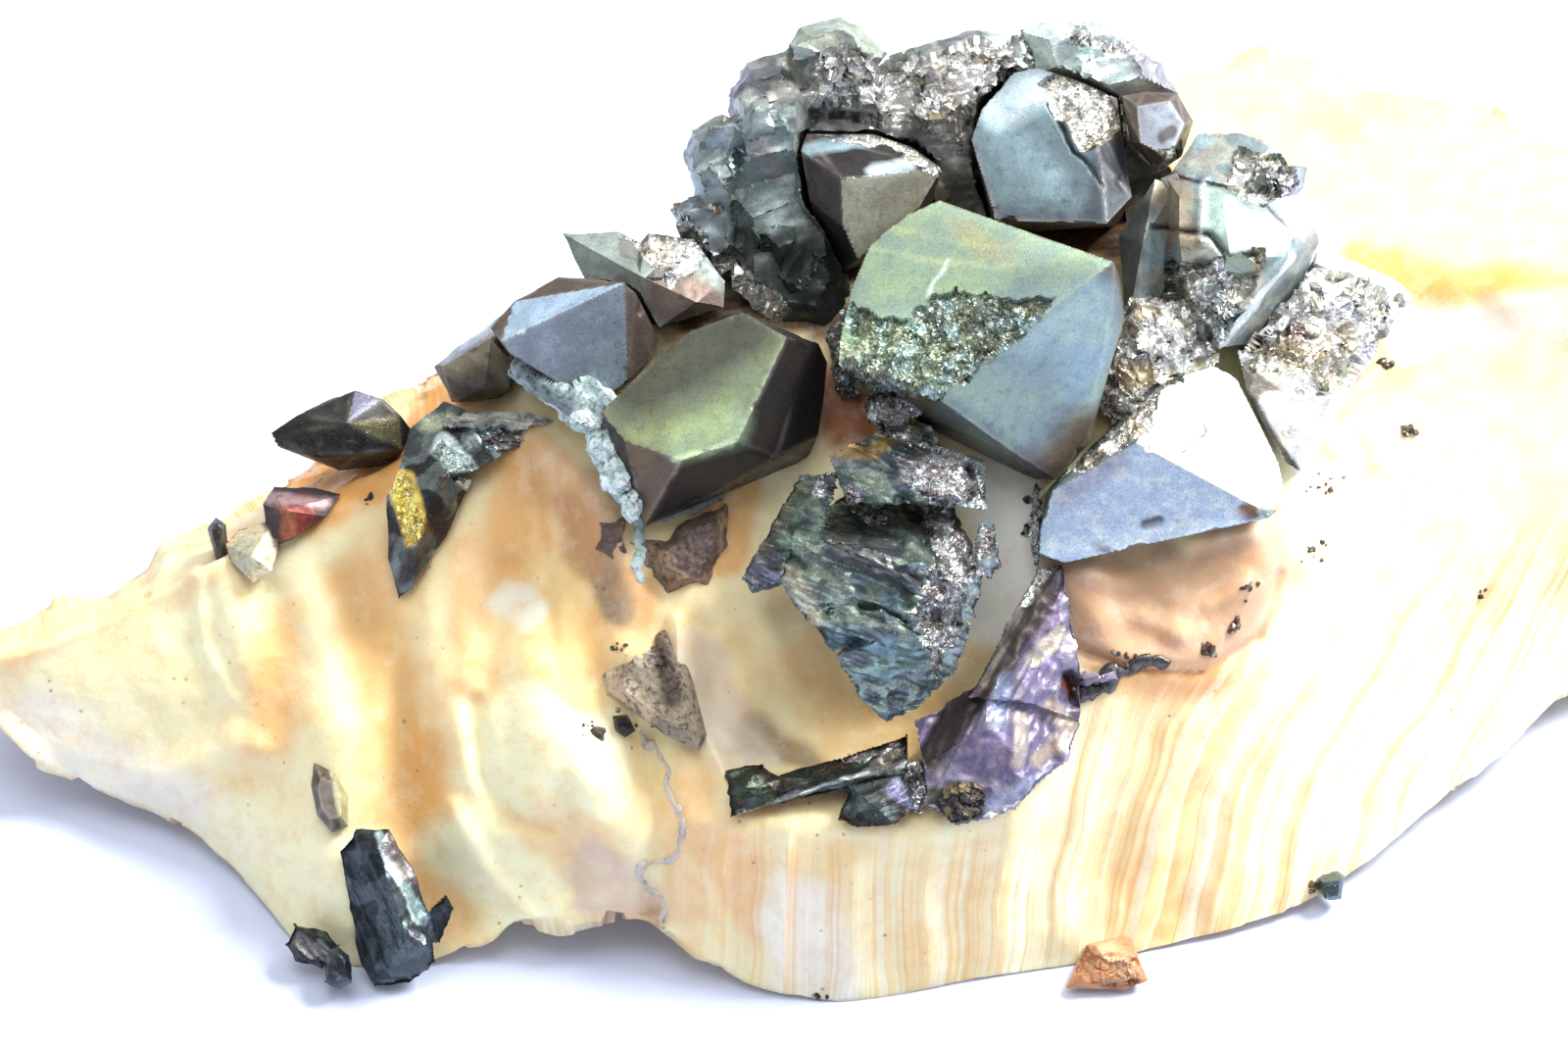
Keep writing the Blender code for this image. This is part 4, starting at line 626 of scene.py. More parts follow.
def calcite_relief(grid):
    """The loft pushed towards the eye by forms and pleats where it faces the eye, and along its
    own normal by soft and broken unevenness, most at the back."""
    points, normal = grid.reshape(-1, 3), loft_normals(grid)
    uv = as_seen(points)
    rise = np.zeros(len(points))
    for line, fade, height in FORMS:
        rise += height * np.exp(-((distance_to(line, uv) / fade) ** 2))
    wall, stripe = wall_share(points, uv, normal), stripe_place(points, uv)
    for pitch, depth in PLEATS:
        rise += depth * wall * (1 - 2 * np.abs(np.sin(math.pi * stripe / pitch)))
    facing = np.clip(normal @ TOWARD * 1.6, 0, 1)
    lifted = np.clip(points[:, 2] / GROUND_FADE, 0, 1)
    rough = (soft(points, 6.2, 7) + 0.5 * soft(points, 2.4, 8)) * (FRONT_RELIEF + BACK_RELIEF * (1 - facing))
    rough += 0.05 * soft(points, 0.9, 9, octaves=2)
    flakes, _ = shattered(points, 5.0, 20)
    rough += 0.16 * flakes * (1 - facing)
    points = points + TOWARD * (rise * facing * lifted)[:, None] + normal * (rough * lifted)[:, None]
    points[:, 2] = np.maximum(points[:, 2], 0)
    return points, np.maximum(wall, 0.8 * (1 - facing)), stripe, facing


calcite_points, calcite_wall, calcite_stripe, calcite_facing = calcite_relief(loft)
low, high = (np.array(corner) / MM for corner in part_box("calcite_matrix"))
calcite_points = np.clip(calcite_points, low, high)
print("calcite from", calcite_points.min(0).round(1), "to", calcite_points.max(0).round(1))

# %% [markdown]
# ## The calcite's colours
# Iron colours calcite from milky white through cream to deep orange, in bands that follow its
# growth, and the bands are where they are: no noise would put them there. So the colour is painted
# as an attribute, stroke by stroke, each a line in the picture with a reach, a soft border and a
# colour. The strokes are pushed about by soft noise, because real bands have no even border. An
# image could hold the same, but it would fit one view only, and strokes carry on round the stone.

# %% Strokes of colour


def tone(red, green, blue):
    """A colour as it looks, 0 to 255, turned into the amounts of light that shaders work with."""
    share = np.array([red, green, blue]) / 255
    return tuple(np.where(share > 0.04045, ((share + 0.055) / 1.055) ** 2.4, share / 12.92))


LIGHT_ORANGE, CREAM, MILK = tone(248, 216, 152), tone(255, 248, 204), tone(250, 244, 226)
DEEP_ORANGE, TAN, RUST = tone(236, 170, 90), tone(230, 188, 122), tone(196, 122, 68)
GLASSY_BROWN, PALE_YELLOW, PEACH = tone(208, 168, 134), tone(252, 234, 168), tone(242, 198, 142)
# The darkest of these is painted shade, laid into the gaps under and between the crystals.
LIP, UMBER_STAIN_AND_SHADE, GAP_SHADE = tone(232, 214, 186), tone(160, 138, 112), tone(84, 60, 44)
# Each stroke: its line, reach, fade, colour and strength.
STROKES = [
    ([(-52, -9), (-40, -4)], 3.0, 2.5, CREAM, 0.5),
    ([(-39.5, -3), (-38.2, -7.5)], 2.0, 1.2, CREAM, 1.0),
    ([(-52, -9.4), (-47, -6.6), (-40, -4.2), (-36, -2)], 0.3, 1.4, DEEP_ORANGE, 0.35),
    ([(-33.4, -7.7), (-33.7, -11.5), (-36.3, -13.6)], 1.0, 2.2, DEEP_ORANGE, 0.6),
    ([(-50, -14), (-43, -18), (-37, -21)], 2.2, 2.0, MILK, 0.8),
    ([(-44, -12), (-38, -13)], 2.0, 2.0, CREAM, 0.6),
    ([(-36, -21), (-30, -27)], 2.0, 2.5, CREAM, 0.7),
    ([(-28.1, -5.1), (-25.2, -14.1), (-25.2, -20), (-22.2, -24.5)], 1.3, 2.6, TAN, 0.85),
    ([(-23.9, -15.8), (-23.2, -19.6), (-22.7, -23.5)], 0.8, 1.8, DEEP_ORANGE, 0.55),
    ([(-31.6, 1.2), (-30, 3), (-24.9, 4), (-22.7, 7.1)], 1.3, 1.8, DEEP_ORANGE, 0.9),
    ([(-24, 1), (-26, -3)], 1.6, 2.4, PEACH, 0.8),
    ([(-17.4, 5.2), (-14.2, 1.8), (-12.3, -3.3), (-10.1, -5.0)], 1.4, 1.6, RUST, 0.55),
    ([(-18.5, 3.5), (-17.5, -1), (-17.6, -3)], 1.2, 1.8, DEEP_ORANGE, 0.55),
    ([(-20.5, -2.5), (-20.8, -10)], 1.0, 1.6, PEACH, 0.8),
    ([(-14.6, -4.2), (-14.4, -9.5)], 2.0, 1.8, LIGHT_ORANGE, 0.9),
    ([(-12.2, -5.5), (-12.0, -9)], 0.8, 1.6, DEEP_ORANGE, 0.4),
    ([(-18.4, -5.2), (-16.9, -6.4)], 0.8, 0.5, MILK, 0.9),
    ([(-19.0, -16.2), (-16.8, -14.1), (-13.4, -15)], 1.8, 1.6, CREAM, 1.0),
    ([(-21, -22), (-14, -27), (-9, -25.5)], 1.6, 2.2, CREAM, 0.95),
    ([(-15.6, -20.4), (-12.6, -20.8)], 1.2, 1.6, PEACH, 0.5),
    ([(-13.4, -17.2), (-12.2, -18.2)], 0.9, 0.9, CREAM, 0.9),
    ([(-6.4, -7.6), (-4.6, -12.4), (-3.6, -15.4)], 1.3, 0.6, LIP, 0.85),
    # Painted shade in the middle of the hollow, over a brown spot.
    ([(-2.4, -14.2), (1.6, -15.4)], 0.9, 1.4, UMBER_STAIN_AND_SHADE, 0.8),
    # A real brown stain by the lumps.
    ([(-12.6, -2.8), (-11.2, -5.6)], 0.9, 0.7, UMBER_STAIN_AND_SHADE, 0.9),
    ([(-12.8, 2.4), (-11.6, -1.6)], 0.8, 0.8, GLASSY_BROWN, 0.7),
    ([(-14.4, 0.8), (-13.4, -2.6)], 0.8, 1.0, tone(196, 148, 100), 0.8),
    ([(-12.4, -22.8), (-10.4, -25.6)], 1.4, 1.2, tone(222, 200, 176), 0.8),
    ([(-3.2, 2.4), (-4.6, -2.4)], 1.2, 1.2, DEEP_ORANGE, 0.7),
    ([(1.6, -9), (4.6, -13.4), (9.4, -13)], 1.2, 1.8, TAN, 0.6),
    # Pale calcite painted near-white to lift the shade beside the nugget: partly painted light.
    ([(13.2, -6), (15, -1), (14.6, 2)], 1.8, 1.6, tone(255, 252, 236), 1.0),
    ([(3.4, 8.2), (4.2, 6.2)], 1.4, 1.2, tone(160, 92, 48), 0.95),
    ([(-6.5, -12.5), (-1.6, -15.5)], 0.7, 1.2, MILK, 0.5),
    ([(-4.4, -21), (-1.6, -26)], 1.2, 1.4, PEACH, 0.7),
    ([(0.8, -26), (2.8, -31)], 1.4, 1.8, MILK, 1.0),
    ([(-6.6, -17), (-7.2, -26)], 1.0, 1.4, PEACH, 0.6),
    ([(19.6, -3.2), (22, -8.4), (28, -8.8), (32, -3.4)], 1.8, 1.4, GLASSY_BROWN, 0.95),
    ([(21.5, -2.6), (27, -5.4), (31, -1.6)], 2.0, 1.4, GLASSY_BROWN, 0.8),
    ([(34.6, 7.4), (38.2, 2.6), (33.6, 1.4)], 1.6, 1.6, GLASSY_BROWN, 0.55),
    ([(22, -10.6), (30, -10)], 0.8, 1.4, DEEP_ORANGE, 0.5),
    ([(24, -24), (27, -29)], 1.4, 3.0, DEEP_ORANGE, 0.45),
    ([(38, -12), (44, -20), (50, -12)], 5.0, 5.0, CREAM, 0.7),
    ([(36, 2), (46, 6), (54, 8)], 3.0, 4.0, CREAM, 0.8),
    ([(30, 31), (55, 22)], 7.0, 4.0, PALE_YELLOW, 0.9),
    ([(39, 17), (44, 15), (52, 14.5)], 1.0, 1.8, DEEP_ORANGE, 0.85),
    ([(33, 26), (44, 28), (56, 25)], 0.8, 2.6, DEEP_ORANGE, 0.28),
    ([(41, 12.4), (55, 13.6)], 0.8, 1.4, MILK, 0.8),
    # Painted shade in the gaps under and between the crystals.
    ([(13.4, 20.4), (22.6, 19.2)], 1.2, 0.8, GAP_SHADE, 0.95),
    ([(21.8, 23.4), (25.2, 22.8)], 1.0, 0.7, GAP_SHADE, 0.95),
    ([(-9.6, 14.4), (-2, 14.4), (4.2, 13.4)], 0.9, 0.8, GAP_SHADE, 0.95),
    ([(23.2, 8.4), (22.0, 4.6)], 0.5, 0.7, GAP_SHADE, 0.8),
]
STROKE_WANDER = 0.9


def calcite_colours(points, facing):
    """Each point's colour: the ground first, then stroke after stroke laid over it. The sides
    turned away from the eye are darkened as painted shade."""
    wander = [soft(points, 3.4, salt, octaves=2) for salt in (41, 42)]
    uv = as_seen(points) + STROKE_WANDER * np.column_stack(wander)
    cloud = np.clip(0.5 + 0.45 * soft(points, 7.0, 43, octaves=3), 0, 1)[:, None]
    colour = np.array(LIGHT_ORANGE) * (1 - cloud) + np.array(CREAM) * cloud
    for line, reach, fade, paint, strength in STROKES:
        share = strength * within(line, reach, uv, fade)[:, None]
        share = share * share * (3 - 2 * share)
        colour = colour + (np.array(paint) - colour) * share
    # Painted shade: darker on the sides turned away from the eye.
    return colour * (1 - (1 - facing)[:, None] * [0.28, 0.35, 0.44])


calcite_paint = calcite_colours(calcite_points, calcite_facing)
print("mean colour of the calcite:", calcite_paint.mean(0).round(2))

# %% [markdown]
# ## Calcite as a material
# Light goes a little way into calcite and comes out again beside where it entered, which softens
# every shadow on it. Subsurface scattering does that. The stripes of the wall are thin layers that
# end there, so they need colour and relief, both from a noise that has one dimension: the place
# across the stripes. Specks of dark ore dust lie on it here and there.

# %% Calcite material


def calcite_material():
    made = bpy.data.materials.new("banded calcite")
    made.use_nodes = True
    tree = Tree(made.node_tree)
    shader = made.node_tree.nodes["Principled BSDF"]
    place = in_mm(tree)
    colour = tree.attribute("colour", "Color")
    wall, stripe = tree.attribute("wall"), tree.attribute("stripe")
    layers = [tree.add("ShaderNodeTexNoise", {"W": stripe, "Scale": scale, "Detail": 3.0, "Roughness": 0.6},
                       noise_dimensions="1D").outputs[0] for scale in (0.55, 2.3)]
    band = tree.math("ADD", tree.math("MULTIPLY", layers[0], 0.6), tree.math("MULTIPLY", layers[1], 0.4))
    darker = tree.math("MULTIPLY", tree.between(band, 0.5, 0.62), tree.math("MULTIPLY", wall, 0.55))
    paler = tree.math("MULTIPLY", tree.between(band, 0.5, 0.38), tree.math("MULTIPLY", wall, 0.6))
    colour = tree.mix(darker, colour, (*tone(238, 184, 122), 1))
    colour = tree.mix(paler, colour, (*tone(255, 250, 232), 1))
    mottle = noise(tree, place, 0.55, 6.0, 0.68).outputs[0]
    colour = tree.mix(tree.between(mottle, 0.48, 0.78, 0.0, 0.45), colour, (*tone(232, 178, 116), 1))
    colour = tree.mix(tree.between(mottle, 0.5, 0.26, 0.0, 0.35), colour, (*tone(254, 246, 220), 1))
    dust = tree.add("ShaderNodeTexVoronoi", {"Vector": place, "Scale": 0.75, "Randomness": 1.0}).outputs[0]
    where = tree.between(noise(tree, place, 0.16, 2.0).outputs[0], 0.5, 0.62)
    speck = tree.math("MULTIPLY", tree.between(dust, 0.13, 0.06), where)
    colour = tree.mix(tree.math("MULTIPLY", speck, 0.6), colour, (*tone(120, 84, 60), 1))
    grain = noise(tree, place, 2.6, 5.0, 0.62).outputs[0]
    ridges = tree.math("MULTIPLY", tree.math("MULTIPLY", layers[1], wall), 0.8)
    high = tree.math("ADD", tree.math("MULTIPLY", grain, 0.28), ridges)
    bump = tree.add("ShaderNodeBump", {"Height": high, "Strength": 0.7, "Distance": 0.3 * MM})
    rough = tree.between(noise(tree, place, 0.8, 4.0).outputs[0], 0.35, 0.65, 0.34, 0.6)
    links = made.node_tree.links
    links.new(colour, shader.inputs["Base Color"])
    links.new(rough, shader.inputs["Roughness"])
    links.new(bump.outputs[0], shader.inputs["Normal"])
    shader.inputs["Subsurface Weight"].default_value = 0.35
    shader.inputs["Subsurface Radius"].default_value = (1.0, 0.55, 0.3)
    shader.inputs["Subsurface Scale"].default_value = 2.0 * MM
    shader.inputs["IOR"].default_value = 1.55
    shader.inputs["Specular IOR Level"].default_value = 0.35
    return made


CALCITE = calcite_material()
print("material:", CALCITE.name)

# %% [markdown]
# The grid closes on itself round the block, and each end is closed by a fan of triangles from the
# middle of its ring, so the skin has no open edge.

# %% Calcite block


def ring_faces(rows, round_count, offset=0):
    """Quads between the rings of a tube, and a fan over each end from the two points after them."""
    i, j = np.meshgrid(np.arange(rows - 1), np.arange(round_count), indexing="ij")
    after = (j + 1) % round_count
    quads = np.stack([i * round_count + j, (i + 1) * round_count + j,
                      (i + 1) * round_count + after, i * round_count + after], axis=-1).reshape(-1, 4)
    ring = np.arange(round_count)
    turned = np.roll(ring, -1)
    last = (rows - 1) * round_count
    start = np.stack([np.full(round_count, rows * round_count), ring, turned], axis=-1)
    end = np.stack([np.full(round_count, rows * round_count + 1), last + turned, last + ring], axis=-1)
    return quads + offset, np.concatenate([start, end]) + offset


def close_tube(values, rows, round_count):
    """The values of a grid with the mean of its first and of its last ring added at the end."""
    flat = values.reshape(rows, round_count, -1)
    ends = np.stack([flat[0].mean(axis=0), flat[-1].mean(axis=0)])
    return np.concatenate([values, ends if values.ndim == 2 else ends[:, 0]])


def as_list(quads, fans):
    return quads.tolist() + fans.tolist()


around = loft.shape[1]
calcite_quads, calcite_fans = ring_faces(STATIONS, around)
calcite = make_piece(
    "calcite_block", close_tube(calcite_points, STATIONS, around), as_list(calcite_quads, calcite_fans), CALCITE,
    ["calcite_matrix"],
    {"colour": close_tube(calcite_paint, STATIONS, around), "wall": close_tube(calcite_wall, STATIONS, around),
     "stripe": close_tube(calcite_stripe, STATIONS, around)}, sharp=50)

# %% [markdown]
# ## Skins for whole crystals
# A pyrite crystal is bounded by flat planes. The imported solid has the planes, so its skin is worked
# out from them: along each direction from the middle, the nearest plane ends the crystal. The
# directions come from six square grids bent round a ball. Points that fall close to an edge or a
# corner are moved onto it, which keeps it crisp. Bevelling the solid would give the same edges,
# but no points inside the faces for growth steps, dents and chips.

# %% Planes, ball and crystal skin


def planes_of(node):
    """Outward planes of a convex solid in mm, as unit normals and distances, and its corners."""
    solid = bmesh.new()
    solid.from_mesh(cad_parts[node].data)
    bmesh.ops.remove_doubles(solid, verts=solid.verts, dist=0.001 * MM)
    corners = np.array([v.co[:] for v in solid.verts]) / MM
    normals = np.array([f.normal[:] for f in solid.faces])
    reach = np.einsum("ij,ij->i", normals, np.array([f.verts[0].co[:] for f in solid.faces]) / MM)
    solid.free()
    outer = (corners @ normals.T - reach).max(axis=0) < 0.05
    normals, reach = normals[outer], reach[outer]
    twin = np.triu(normals @ normals.T > 0.9995, 1).any(axis=0)
    return normals[~twin], reach[~twin], corners


def ball(steps):
    """Unit directions and quads: six grids, one from each side of a cube, spaced by the tangent so
    that all cells look equally wide from the middle, with shared border points merged."""
    line = np.tan(np.linspace(-math.pi / 4, math.pi / 4, steps + 1))
    a, b = np.meshgrid(line, line, indexing="ij")
    sides = []
    for axis in range(3):
        for sign in (1, -1):
            side = np.empty((steps + 1, steps + 1, 3))
            side[..., axis] = sign
            side[..., (axis + 1) % 3], side[..., (axis + 2) % 3] = (a, b) if sign > 0 else (b, a)
            sides.append(side.reshape(-1, 3))
    i, j = np.meshgrid(np.arange(steps), np.arange(steps), indexing="ij")
    corner = (i * (steps + 1) + j).ravel()
    cells = np.stack([corner, corner + steps + 1, corner + steps + 2, corner + 1], axis=-1)
    faces = np.concatenate([cells + k * (steps + 1) ** 2 for k in range(6)])
    every = np.concatenate(sides)
    every /= np.linalg.norm(every, axis=1, keepdims=True)
    _, first, back = np.unique(np.round(every * 1e6).astype(np.int64), axis=0, return_index=True, return_inverse=True)
    return every[first], back.reshape(-1)[faces]


def crystal_skin(node, steps):
    """Points on the planes of a crystal, with the plane of each and its distance to an edge. A
    point nearer to an edge than 0.6 of a cell slides along its plane onto it, and then the same
    along the edge to a corner."""
    directions, faces = ball(steps)
    normals, reach, corners = planes_of(node)
    middle = corners.mean(axis=0)
    lean = directions @ normals.T / (reach - normals @ middle)
    radius = 1 / lean.max(axis=1)
    points = middle + directions * radius[:, None]
    home = lean.argmax(axis=1)
    cell = radius * math.pi / 2 / steps * 0.6
    row = np.arange(len(points))
    cosine = normals @ normals.T
    sine = np.sqrt(np.clip(1 - cosine ** 2, 1e-6, 1))
    gap = (reach - points @ normals.T) / sine[home]
    gap[row, home] = np.inf
    second = gap.argmin(axis=1)
    to_edge = np.clip(gap[row, second], 0, None)
    slide = (normals[second] - cosine[home, second][:, None] * normals[home]) / sine[home, second][:, None]
    near = to_edge < cell
    points = points + slide * (to_edge * near)[:, None]
    edge = np.cross(normals[home], normals[second])
    edge /= np.linalg.norm(edge, axis=1, keepdims=True) + 1e-9
    climb = edge @ normals.T
    left = (reach - points @ normals.T) / np.where(np.abs(climb) < 0.05, 1e9, climb)
    left[np.abs(climb) < 0.05] = np.inf
    left[row, home] = left[row, second] = np.inf
    third = np.abs(left).argmin(axis=1)
    onward = left[row, third]
    stop = near & (np.abs(onward) < cell * 1.1)
    points = points + edge * np.where(stop, onward, 0)[:, None]
    over = ((points - middle) @ normals.T / (reach - normals @ middle)).max(axis=1)
    points = middle + (points - middle) / np.maximum(over, 1)[:, None]
    return points, faces, home, to_edge, normals[home], middle


print("a ball of 8 steps has", len(ball(8)[0]), "points")

# %% [markdown]
# ## Where a crystal broke and how it is coloured
# Every skin is finished in the same way. Zones drawn in the picture say where it broke, and there
# it sinks by a few tenths of a millimetre in flat facets. Strokes of colour lie over the colour of
# each face. Edges are chipped where a noise says so. Only points that face the eye take a stroke
# or a zone, because the picture says nothing about the rest, and there a noise decides.

# %% Breaks and films


def toward_eye(points, normals):
    """1 where a point faces the eye and 0 where it is turned away."""
    sight = VIEW_CENTRE + TOWARD * EYE_DISTANCE - points
    sight /= np.linalg.norm(sight, axis=1, keepdims=True)
    return np.clip((np.einsum("ij,ij->i", sight, normals) - 0.02) * 12, 0, 1)


def crack_depth(points, uv, cracks):
    """How far the skin sinks into narrow cracks: each a line with a width and a depth in mm."""
    moved = uv + 0.1 * np.column_stack([soft(points, 0.7, 59, 2), soft(points, 0.7, 60, 2)])
    total = np.zeros(len(points))
    for line, width, depth in cracks:
        total += depth * np.exp(-((distance_to(line, moved) / width) ** 2))
    return total


def inside(outline, uv):
    """Whether each (u, v) lies in a closed outline: it crosses the outline an odd number of times
    on its way to the right."""
    outline = np.array(outline, float)
    odd = np.zeros(len(uv), bool)
    for (u0, v0), (u1, v1) in zip(outline, np.roll(outline, -1, axis=0)):
        if v0 != v1:
            crosses = (uv[:, 1] < v0) != (uv[:, 1] < v1)
            odd ^= crosses & (uv[:, 0] < u0 + (uv[:, 1] - v0) / (v1 - v0) * (u1 - u0))
    return odd


def broken_share(points, uv, facing, zones, behind):
    """1 where the skin is broken. A zone is an outline, or a line of two points with its reach."""
    share = np.zeros(len(points))
    wander = uv + 0.42 * np.column_stack([soft(points, 1.3, 51, 3), soft(points, 1.3, 52, 3)])
    for zone, reach in zones:
        share = np.maximum(share, inside(zone, wander) * 1.0 if reach == 0 else within(zone, reach, wander, 0.15))
    hidden = np.clip((soft(points, 3.5, 53, 3) - 0.7 + 1.2 * behind) * 5, 0, 1)
    return share * facing + hidden * (1 - facing)


def paint(colour, points, uv, facing, strokes, wander=0.16):
    """Colours with strokes laid over them where the skin faces the eye."""
    moved = uv + wander * np.column_stack([soft(points, 1.2, 55, 2), soft(points, 1.2, 56, 2)])
    for line, reach, fade, over, strength in strokes:
        share = (strength * facing * within(line, reach, moved, fade))[:, None]
        colour = colour + (np.array(over) - colour) * share
    return colour


FINE_FACETS = 0.36  # Size of the small facets as a share of the large ones


def fracture_relief(points, normals, share, size, depth, salt):
    """The points of the sunken skin and a random number of the facet each lies on: large facets
    with small ones on them. The place is bent by soft noise first, so that the facets curve as a
    shell-like break does."""
    bent = points + 0.3 * size * np.column_stack([soft(points, size * 0.8, salt + k, 2) for k in (11, 12, 13)])
    coarse, shade = shattered(bent, size, salt)
    fine, _ = shattered(bent, size * FINE_FACETS, salt + 40)
    height = 0.55 * coarse / size + 0.3 * fine / size / FINE_FACETS
    return points - normals * (share * depth * (0.75 - height))[:, None], shade


def seen_faces(home, points, facing, uv, places, ground):
    """The colour of each face of a crystal: of the place in the picture that lies on it."""
    colour = np.tile(np.array(ground, float), (len(points), 1))
    shown = np.flatnonzero(facing > 0.5)
    for place, over in places:
        hit = shown[np.linalg.norm(uv[shown] - place, axis=1).argmin()]
        colour[home == home[hit]] = over
    return colour


print("the middle of a unit square is inside it:", inside([(0, 0), (1, 0), (1, 1), (0, 1)], np.array([[0.5, 0.5]])))

# %% [markdown]
# ## The whole crystals
# Each entry gives the finish, the grid's steps, the colour of hidden faces, places in the picture
# with the colour of the face they lie on, broken zones, and strokes of colour.

